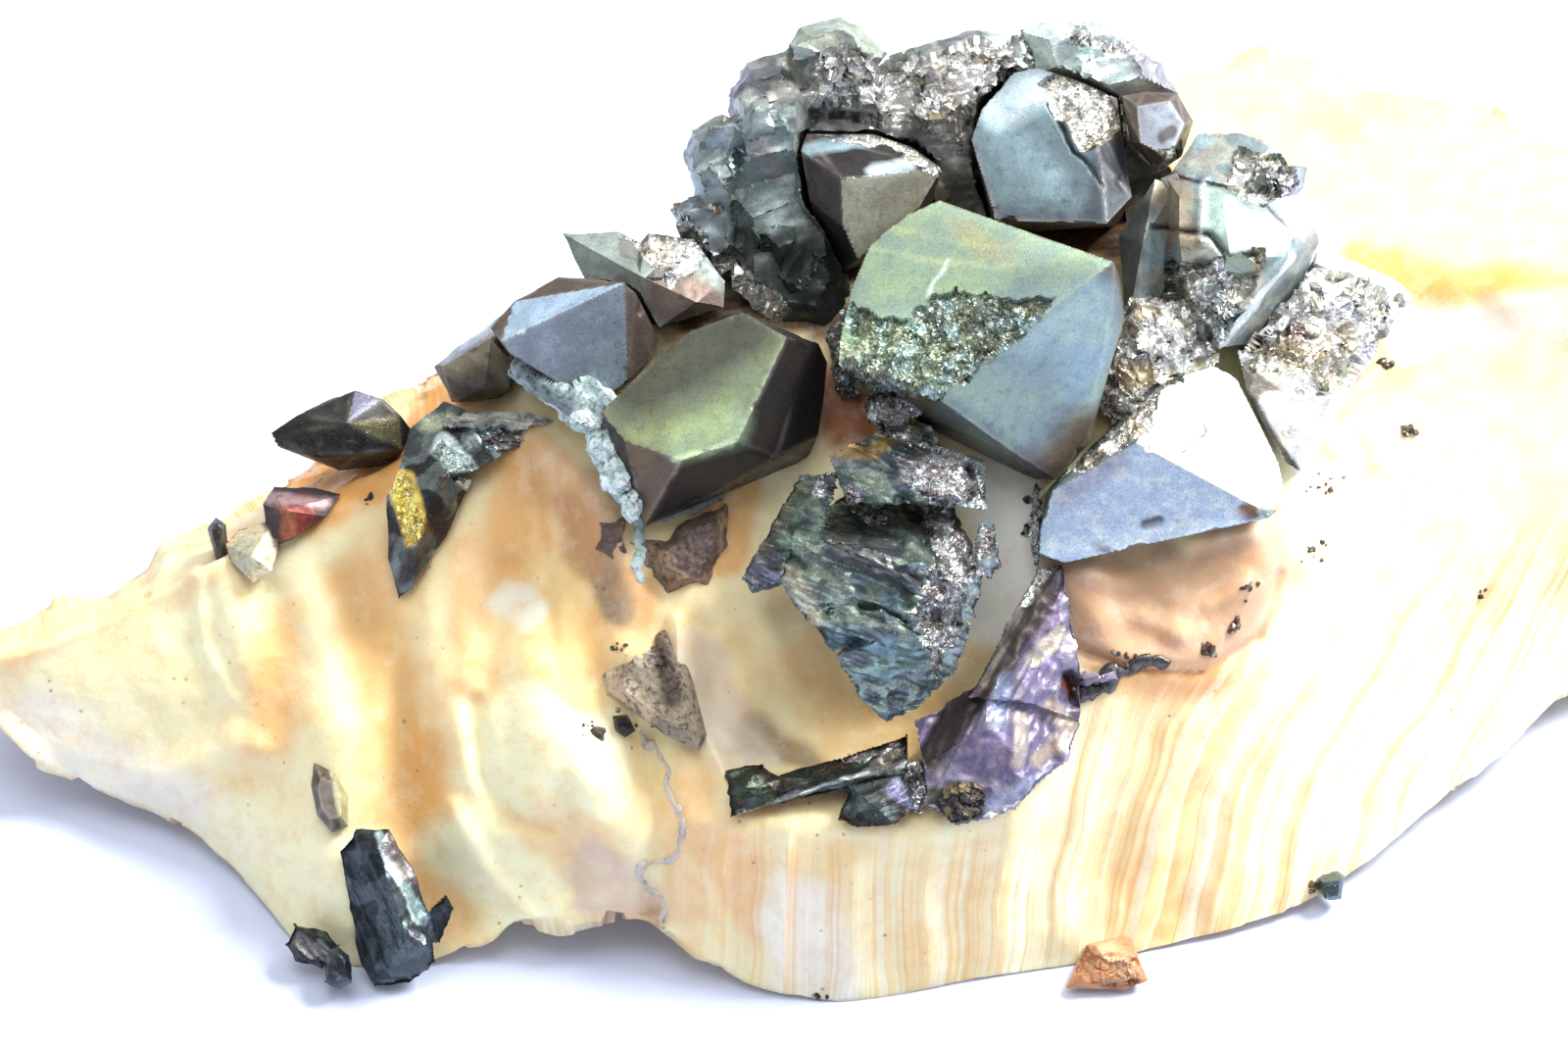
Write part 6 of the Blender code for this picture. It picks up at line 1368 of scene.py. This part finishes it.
def stone(name, grain, pores, gloss, lift, sink, glow=0.0):
    """Film colour in grains and pores. Grain and pores are heights in mm, lift and sink the
    shares by which the film gets lighter and darker."""
    made = bpy.data.materials.new(name)
    made.use_nodes = True
    tree = Tree(made.node_tree)
    shader = made.node_tree.nodes["Principled BSDF"]
    place = in_mm(tree)
    film = tree.attribute("film", "Color")
    grains = tree.add("ShaderNodeTexVoronoi", {"Vector": place, "Scale": 2.4}).outputs
    cloud = noise(tree, place, 0.8, 6.0, 0.7).outputs[0]
    pore = tree.between(noise(tree, place, 2.2, 4.0, 0.7).outputs[0], 0.56, 0.68)
    light = tree.mix(1.0, film, (lift, lift, lift, 1), "MULTIPLY")
    deep = tree.mix(1.0, film, (sink, sink * 0.9, sink * 0.8, 1), "MULTIPLY")
    colour = tree.mix(tree.between(cloud, 0.45, 0.7), film, light)
    colour = tree.mix(tree.between(cloud, 0.45, 0.3), colour, deep)
    colour = tree.mix(tree.math("MULTIPLY", pore, 0.6), colour, deep)
    lump = tree.math("MULTIPLY", grains["Distance"], grain)
    high = tree.math("SUBTRACT", lump, tree.math("MULTIPLY", pore, pores))
    bump = tree.add("ShaderNodeBump", {"Height": high, "Strength": 1.0, "Distance": MM})
    links = made.node_tree.links
    links.new(colour, shader.inputs["Base Color"])
    links.new(bump.outputs[0], shader.inputs["Normal"])
    links.new(tree.between(cloud, 0.3, 0.7, gloss - 0.1, gloss + 0.1), shader.inputs["Roughness"])
    shader.inputs["Subsurface Weight"].default_value = glow
    shader.inputs["Subsurface Scale"].default_value = MM
    return made


FINISHES["crust"] = stone("pale crust", -0.10, 0.12, 0.75, 1.25, 0.62)
FINISHES["lump"] = stone("brown gangue", -0.16, 0.12, 0.55, 1.35, 0.5)
FINISHES["porous"] = stone("porous beige", -0.12, 0.22, 0.7, 1.25, 0.55)
FINISHES["chip"] = stone("brown calcite", -0.03, 0.02, 0.3, 1.3, 0.7, 0.3)
TEAL, GANGUE, BEIGE = tone(190, 212, 210), tone(122, 104, 86), tone(150, 138, 118)
skin_group("pale_crust", 31, "crust", 7, [TEAL, tone(210, 224, 220), tone(150, 172, 170)], 0.25, 0.7, 0.0, [],
           [([(-18.4, 9.6), (-14.6, 7.4)], 0.8, 0.8, tone(92, 112, 114), 0.85),
            ([(-15.4, 10.6), (-12.8, 10.0), (-11.4, 8.4)], 0.8, 0.6, tone(104, 124, 126), 0.9),
            ([(-10, -0.4), (-9.4, -1.4)], 0.4, 0.5, tone(216, 222, 214), 0.6)],
           [([(-9.6, -1.3), (-9.2, -4.2)], 0.3, 0.3)], 0.45, 60, None, 0.85)
skin_group("brown_lump", 32, "lump", 6, [GANGUE, tone(140, 116, 92), tone(98, 82, 74)], 0.3, 0.9, 0.2, [],
           [([(-10.4, -3.4), (-9.8, -4.6)], 0.5, 0.7, tone(176, 150, 118), 0.6)], (), 0.28, 60)
skin_crystal("beige_lump", 33, "porous", 56, BEIGE, 0.4, 1.0, [], [([(-9.6, -6.2), (-8.6, -9.6)], 0.6)],
             [([(-8.4, -8.2), (-7.4, -11.4)], 0.5, 0.5, tone(62, 48, 40), 0.9),
              ([(-11.6, -7.4), (-9.6, -8.6)], 0.5, 0.8, tone(176, 172, 160), 0.7),
              ([(-11.8, -10.4), (-9.4, -12.6)], 0.4, 0.8, tone(214, 190, 158), 0.7)])
skin_crystal("calcite_chip", 34, "chip", 48, tone(184, 132, 92), 0.4, 1.0, [], [([(19, -29), (23, -30)], 0.8)],
             [([(21.6, -28.4), (22.6, -29.6)], 0.5, 0.6, tone(214, 176, 140), 0.7)])

# %% [markdown]
# ## Rubble between the crystals
# Where crystals meet there are no neat joints but a rubble of broken pyrite. Each bed of it is a
# flattened ball, broken as deeply as it is thick, that fills a gap seen in the picture. On some of
# the beds and on many broken zones lie loose angular grains. A grain is cut from a small ball by eight
# random planes, and it has 24 faces, because there are hundreds of them. A particle system would
# scatter them too, but this way they are plain mesh and keep their own tones.

# %% Beds and grains


def rubble_bed(name, middle, half, finish, tones, size, depth, salt, steps):
    """A ball with half sizes along the picture's right, up and towards the eye, broken all over."""
    directions, faces = ball(steps)
    axes = np.array([RIGHT, UPWARD, TOWARD])
    points = seen(*middle) + directions * np.array(half) @ axes
    normal = faces_normals(points, faces)
    points = points + normal * (0.18 * min(half) * soft(points, min(half), salt, 2))[:, None]
    share = np.ones(len(points))
    points, shade = fracture_relief(points, normal, share, size, depth, salt + 1)
    pick = (shade * 0.999 * len(tones)).astype(int)
    cloud = np.clip(0.55 + 0.8 * soft(points, 1.4, salt + 2, 2), 0, 1)
    SKINS[name] = points, normal, share
    masks = {"film": np.array(tones)[pick], "broken": cloud, "facet": shade}
    return make_piece(name, points, faces, FINISHES[finish], (), masks, sharp=20)


def grain_shapes(count, chance):
    """Count grains of 26 points: along each direction the nearest of eight random planes."""
    directions, faces = ball(2)
    planes = chance.normal(size=(count, 8, 3))
    planes /= np.linalg.norm(planes, axis=2, keepdims=True)
    reach = chance.uniform(0.45, 0.95, (count, 8))
    lean = np.einsum("vk,gpk->gvp", directions, planes) / reach[:, None]
    radius = 1 / np.maximum(lean.max(axis=2), 0.8)
    stretch = chance.uniform(0.6, 1.3, (count, 1, 3))
    return directions * radius[..., None] * stretch, faces


def scatter(name, beds, smallest, largest, tones, finish, seed):
    """Grains at random places of the broken skins, each with a share of them, sunk by a third."""
    chance = np.random.default_rng(seed)
    places, outward = [], []
    for bed, count in beds:
        points, normal, broken = SKINS[bed]
        pool = np.flatnonzero(broken > 0.7)
        pool = pool[chance.integers(0, len(pool), count)]
        places.append(points[pool])
        outward.append(normal[pool])
    places, outward = np.concatenate(places), np.concatenate(outward)
    shapes, faces = grain_shapes(len(places), chance)
    size = smallest + (largest - smallest) * chance.random(len(places)) ** 2.5
    centre = places - outward * (size * 0.1)[:, None]
    points = (shapes * size[:, None, None] / 2 + centre[:, None]).reshape(-1, 3)
    corners = shapes.shape[1]
    faces = (faces[None] + corners * np.arange(len(places))[:, None, None]).reshape(-1, 4)
    film = np.repeat(np.array(tones)[chance.integers(0, len(tones), len(places))], corners, axis=0)
    return make_piece(name, points, faces, FINISHES[finish], (), {"film": film}, sharp=15)


SILVER, GOLD, BRONZE = tone(228, 229, 224), tone(206, 192, 156), tone(150, 132, 104)
GREY, COAL, GREENISH = tone(150, 150, 148), tone(70, 66, 62), tone(150, 160, 140)
rubble_bed("bed_between_crystals", (24.2, 10.6, 5.2), (4.6, 5.0, 3.2), "glitter",
           [SILVER, GOLD, GREY, BRONZE], 2.0, 1.1, 201, 80)
rubble_bed("bed_behind_nugget", (4.4, 11.2, 3.6), (1.8, 3.4, 2.2), "dark",
           [COAL, UMBER, GREY], 1.0, 0.6, 211, 40)
rubble_bed("bed_over_nugget", (7.2, 7.6, 9.0), (2.2, 1.5, 2.0), "dark",
           [COAL, UMBER], 0.9, 0.5, 221, 40)
rubble_bed("bed_by_gold", (-18.2, 5.4, 0.0), (3.4, 1.0, 1.4), "dark",
           [COAL, tone(120, 130, 134), UMBER], 1.1, 0.5, 231, 44)
rubble_bed("crust_by_gold", (-18.8, 6.7, 0.4), (4.0, 0.75, 1.4), "crust",
           [tone(178, 180, 168), tone(196, 198, 188), tone(150, 150, 140)], 0.9, 0.35, 241, 44)
# Pale teal crust painted near-white to lift the shade of the green crystal: partly painted light.
for number, (middle, half) in enumerate([((-13.0, 6.8, 6.2), (1.5, 1.0, 1.2)), ((-11.9, 5.1, 6.4), (1.35, 1.4, 1.5)),
                                         ((-11.0, 3.2, 6.4), (1.3, 1.5, 1.5)), ((-10.1, 1.2, 6.0), (0.9, 1.3, 1.2))]):
    rubble_bed(f"crust_by_green_{number}", middle, half, "crust",
               [tone(226, 246, 244), tone(246, 255, 252), tone(190, 214, 212)], 0.7, 0.3, 251 + number, 36)
rubble_bed("bed_by_pale_crystal", (16.75, -0.2, 6.6), (0.6, 2.9, 1.4), "dark",
           [COAL, UMBER, SOOT], 0.8, 0.4, 271, 36)
rubble_bed("bed_by_blades", (8.8, -17.5, 9.0), (0.9, 1.9, 1.0), "dark",
           [SOOT, COAL, UMBER], 0.8, 0.4, 281, 36)
rubble_bed("knob_by_plate", (11.7, -18.2, 9.8), (1.9, 1.5, 1.3), "lump",
           [SOOT, tone(120, 110, 80), UMBER, SOOT], 0.9, 0.5, 261, 44)
scatter("grains_silver", [("bed_between_crystals", 60), ("pyrite_right_cluster", 40), ("pyrite_rear_mass", 130),
                          ("pyrite_right_crystal", 16), ("pyrite_spiked_crystal", 8)],
        0.3, 1.4, [SILVER, SILVER, SILVER, GOLD, BRONZE, GREY], "spark", 11)
scatter("grains_olive", [("pyrite_centre_crystal", 60), ("pyrite_back_crystal", 16), ("pyrite_shelf_crystal", 10),
                         ("pyrite_lower_right_crystal", 26)],
        0.15, 0.5, [GOLD, GREENISH, SILVER, BRONZE], "spark", 12)
scatter("grains_dark", [("pyrite_nugget", 120), ("pyrite_gold_crystal", 16), ("bed_behind_nugget", 80),
                        ("bed_over_nugget", 40), ("bed_by_gold", 30)],
        0.15, 0.5, [COAL, GREY, SILVER, GREY, COAL], "spark", 13)
scatter("shards_right", [("pyrite_right_crystal", 14), ("pyrite_right_cluster", 8), ("bed_between_crystals", 10)],
        1.0, 2.4, [GREY, SILVER, COAL, GREY, GREENISH], "spark", 14)

# %% [markdown]
# ## A white vein and dark dust on the calcite
# A thin crack filled with white crust zigzags down the front of the calcite, and grains of ore
# stick to it. Both lie on its skin, so their places are looked up there: of the skin's points
# close to a place in the picture, the one nearest to the eye. The vein is a flattened round profile
# carried along its path, with lumps where a soft noise swells it.

# %% Things that lie on the calcite


def on_calcite(place):
    """The point of the calcite's visible skin at a (u, v), and its outward direction."""
    near = np.linalg.norm(front_uv - place, axis=1)
    pool = np.flatnonzero(near < max(0.3, near.min() + 0.05))
    best = pool[(front_points[pool] @ TOWARD).argmax()]
    return front_points[best], front_normals[best]


def along_path(path, spacing):
    """Places at even spacing along a line of straight pieces."""
    path = np.array(path, float)
    run = np.concatenate([[0], np.cumsum(np.linalg.norm(np.diff(path, axis=0), axis=1))])
    at = np.arange(0, run[-1], spacing)
    return np.column_stack([np.interp(at, run, path[:, 0]), np.interp(at, run, path[:, 1])])


def vein_skin(path, radius, sides):
    """A tube on the calcite: centres c(t), radius r(t) with lumps, and points c + r (cos a n +
    sin a b), where n is the calcite's outward direction and b is square to it and to the path."""
    places = along_path(path, 0.12)
    places += 0.18 * np.column_stack([soft(np.column_stack([places, places[:, 0]]), 0.8, k, 2) for k in (305, 306)])
    rows = [on_calcite(place) for place in places]
    centre, normal = np.array([r[0] for r in rows]), np.array([r[1] for r in rows])
    for _ in range(3):
        centre[1:-1] = (centre[:-2] + centre[1:-1] * 2 + centre[2:]) / 4
    travel = np.gradient(centre, axis=0)
    side = np.cross(travel, normal)
    side /= np.linalg.norm(side, axis=1, keepdims=True) + 1e-9
    width = radius * (1.1 + 0.8 * soft(centre, 0.6, 301, 3))
    width[0] = width[-1] = 0.02
    turn = np.linspace(0, 2 * math.pi, sides, endpoint=False)
    ring = side[:, None] * np.cos(turn)[None, :, None] + 0.6 * normal[:, None] * np.sin(turn)[None, :, None]
    points = centre[:, None] + ring * width[:, None, None]
    return points.reshape(-1, 3), len(centre)


calcite_normals = loft_normals(calcite_points.reshape(STATIONS, around, 3))
shown = (calcite_normals @ TOWARD > 0.1) & (calcite_points[:, 2] > 0.3)
front_points, front_normals = calcite_points[shown], calcite_normals[shown]
front_uv = as_seen(front_points)
VEIN_SIDES = 12
VEIN_PATH = [(-9.4, -13.8), (-8.6, -15.3), (-7.7, -16.3), (-8.1, -17.4), (-6.9, -19.6), (-7.1, -22.2),
             (-9.3, -22.9), (-9.4, -23.9), (-8.3, -24.9), (-8.1, -27.0)]
FINISHES["vein"] = stone("white vein", -0.08, 0.06, 0.6, 1.2, 0.7, 0.2)
VEINS = [("white_vein", VEIN_PATH, 0.2, "vein", tone(206, 196, 188)),
         ("crust_dribble", [(-9.3, 0.6), (-9.5, -0.6), (-9.2, -1.8), (-9.6, -2.8), (-9.2, -3.8)], 0.34,
          "crust", TEAL),
         ("crust_line", [(-9.1, 0.1), (-7.6, 0.5), (-6.0, 1.1), (-4.0, 1.9)], 0.24, "crust", tone(176, 184, 188)),
         ("plate_branch", [(18.8, -11.4), (20.0, -11.6), (21.2, -11.0), (21.8, -10.0), (23.4, -9.4),
                           (25.6, -9.6)], 0.4, "dark", tone(88, 84, 84))]
for name, path, radius, finish, film in VEINS:
    vein_points, vein_rows = vein_skin(path, radius, VEIN_SIDES)
    vein_points = close_tube(vein_points, vein_rows, VEIN_SIDES)
    make_piece(name, vein_points, as_list(*ring_faces(vein_rows, VEIN_SIDES)), FINISHES[finish], (),
               {"film": np.tile(film, (len(vein_points), 1))}, sharp=60)

# Dust: the middle of each patch, its spread and the number and size of its grains, in mm.
DUST = [((22.8, -9.2), 0.7, 10, 0.55), ((28.3, -8.6), 0.7, 12, 0.6), ((30.0, -7.0), 0.6, 8, 0.6),
        ((31.2, -4.4), 0.6, 8, 0.5), ((35.4, -2.0), 0.9, 8, 0.4), ((41.6, 6.0), 0.5, 8, 0.6),
        ((40.1, 10.6), 0.4, 4, 0.6), ((46.5, -4.7), 0.3, 3, 0.5), ((36.2, 2.4), 1.2, 10, 0.4),
        ((35.6, -24.0), 0.7, 6, 0.6), ((2.2, -32.0), 0.8, 5, 0.5), ((-27.4, 1.6), 0.6, 4, 0.4),
        ((-11, -8.4), 0.8, 8, 0.3), ((-9.6, -12.4), 1.2, 14, 0.35), ((-13.2, -13.6), 0.8, 6, 0.3),
        ((16.2, -0.6), 0.5, 10, 0.6), ((16.0, 1.6), 0.3, 6, 0.5), ((-35, -1), 1.0, 5, 0.4)]


def dust_grains(patches, tones, seed):
    """Grains strewn round each patch's middle, on the calcite's skin."""
    chance = np.random.default_rng(seed)
    centres, sizes = [], []
    for middle, spread, count, size in patches:
        for place in chance.normal(middle, spread / 2, (count, 2)):
            centres.append(on_calcite(place)[0])
            sizes.append(size * chance.uniform(0.5, 1.3))
    centres, sizes = np.array(centres), np.array(sizes)
    shapes, faces = grain_shapes(len(centres), chance)
    points = (shapes * sizes[:, None, None] / 2 + centres[:, None]).reshape(-1, 3)
    faces = (faces[None] + 26 * np.arange(len(centres))[:, None, None]).reshape(-1, 4)
    film = np.repeat(np.array(tones)[chance.integers(0, len(tones), len(centres))], 26, axis=0)
    return make_piece("ore_dust", points, faces, FINISHES["dark"], (), {"film": film}, sharp=15)


dust_grains(DUST, [COAL, UMBER, tone(104, 84, 70), GREY], 21)

# %% [markdown]
# ## Floor, room and lights
# The specimen lies on white board in a bright room, and the picture is exposed so high that the
# board goes white. The key light stands behind the right shoulder of the specimen: that is where
# the blown-out crystal face mirrors the room. The room is white above and darker in front and near
# the floor, and the metal faces that look down show that as blue-grey and black.

# %% Floor, room and lights


def add_floor():
    """A square sheet under the specimen, with a coarse grid of faces."""
    steps = np.linspace(-600.0, 600.0, 13)
    x, y = np.meshgrid(steps, steps, indexing="ij")
    points = np.stack([x, y, np.zeros_like(x)], axis=-1).reshape(-1, 3)
    i, j = np.meshgrid(np.arange(12), np.arange(12), indexing="ij")
    corner = (i * 13 + j).ravel()
    faces = np.stack([corner, corner + 13, corner + 14, corner + 1], axis=-1)
    mesh = bpy.data.meshes.new("floor")
    mesh.from_pydata((points * MM).tolist(), [], faces.tolist())
    board = bpy.data.materials.new("white board")
    board.use_nodes = True
    tree = Tree(board.node_tree)
    shade = noise(tree, in_mm(tree), 0.02, 3.0).outputs[0]
    shader = board.node_tree.nodes["Principled BSDF"]
    colour = tree.mix(shade, (0.60, 0.66, 0.88, 1), (0.64, 0.70, 0.90, 1))
    board.node_tree.links.new(colour, shader.inputs["Base Color"])
    shader.inputs["Roughness"].default_value = 0.9
    shader.inputs["Specular IOR Level"].default_value = 0.1
    shader.inputs["Emission Color"].default_value = (0.86, 0.92, 1.0, 1)
    shader.inputs["Emission Strength"].default_value = 0.05
    mesh.materials.append(board)
    floor = bpy.data.objects.new("floor", mesh)
    bpy.context.scene.collection.objects.link(floor)


def add_room():
    """World light that depends on direction alone: white overhead, darker in front and below, with
    soft patches, as windows, walls and a dark shelf would give. Metal needs something to mirror."""
    world = bpy.data.worlds.new("room")
    world.use_nodes = True
    tree = Tree(world.node_tree)
    place = tree.add("ShaderNodeTexCoord").outputs["Generated"]
    parts = tree.add("ShaderNodeSeparateXYZ", {0: place}).outputs
    up = tree.between(parts[2], -0.1, 0.75)
    colour = tree.mix(up, (0.27, 0.29, 0.34, 1), (1.0, 1.0, 1.0, 1))
    ahead = tree.between(parts[1], -0.35, -0.95, 0.0, 0.8)
    colour = tree.mix(ahead, colour, (0.10, 0.11, 0.14, 1))
    patch = tree.add("ShaderNodeTexNoise", {"Vector": place, "Scale": 2.4, "Detail": 1.0}).outputs[0]
    colour = tree.mix(tree.between(patch, 0.52, 0.6, 0.0, 0.75), colour, (0.2, 0.2, 0.22, 1))
    back = world.node_tree.nodes["Background"]
    world.node_tree.links.new(colour, back.inputs["Color"])
    back.inputs["Strength"].default_value = WORLD_LIGHT
    bpy.context.scene.world = world


def add_light(name, azimuth, height, distance, size, power, colour=(1, 1, 1)):
    """A square light that faces the specimen. The azimuth is 0 in front and 90 to the right."""
    turn, rise = math.radians(azimuth), math.radians(height)
    aim = np.array([0.0, 0.0, 0.02])
    away = np.array([math.sin(turn) * math.cos(rise), -math.cos(turn) * math.cos(rise), math.sin(rise)])
    data = bpy.data.lights.new(name, "AREA")
    data.shape, data.size, data.energy, data.color = "SQUARE", size, power, colour
    light = bpy.data.objects.new(name, data)
    light.location = aim + away * distance
    light.rotation_euler = (math.pi / 2 - rise, 0, turn)
    bpy.context.scene.collection.objects.link(light)


WORLD_LIGHT = 0.95
add_floor()
add_room()
add_light("key", 107, 50, 0.9, 0.35, 16.0)
add_light("overhead", -20, 80, 1.0, 0.6, 3.5)
bpy.context.scene.view_settings.view_transform = "Standard"

# %% [markdown]
# ## Last update

# %% Update the view layer
bpy.context.view_layer.update()
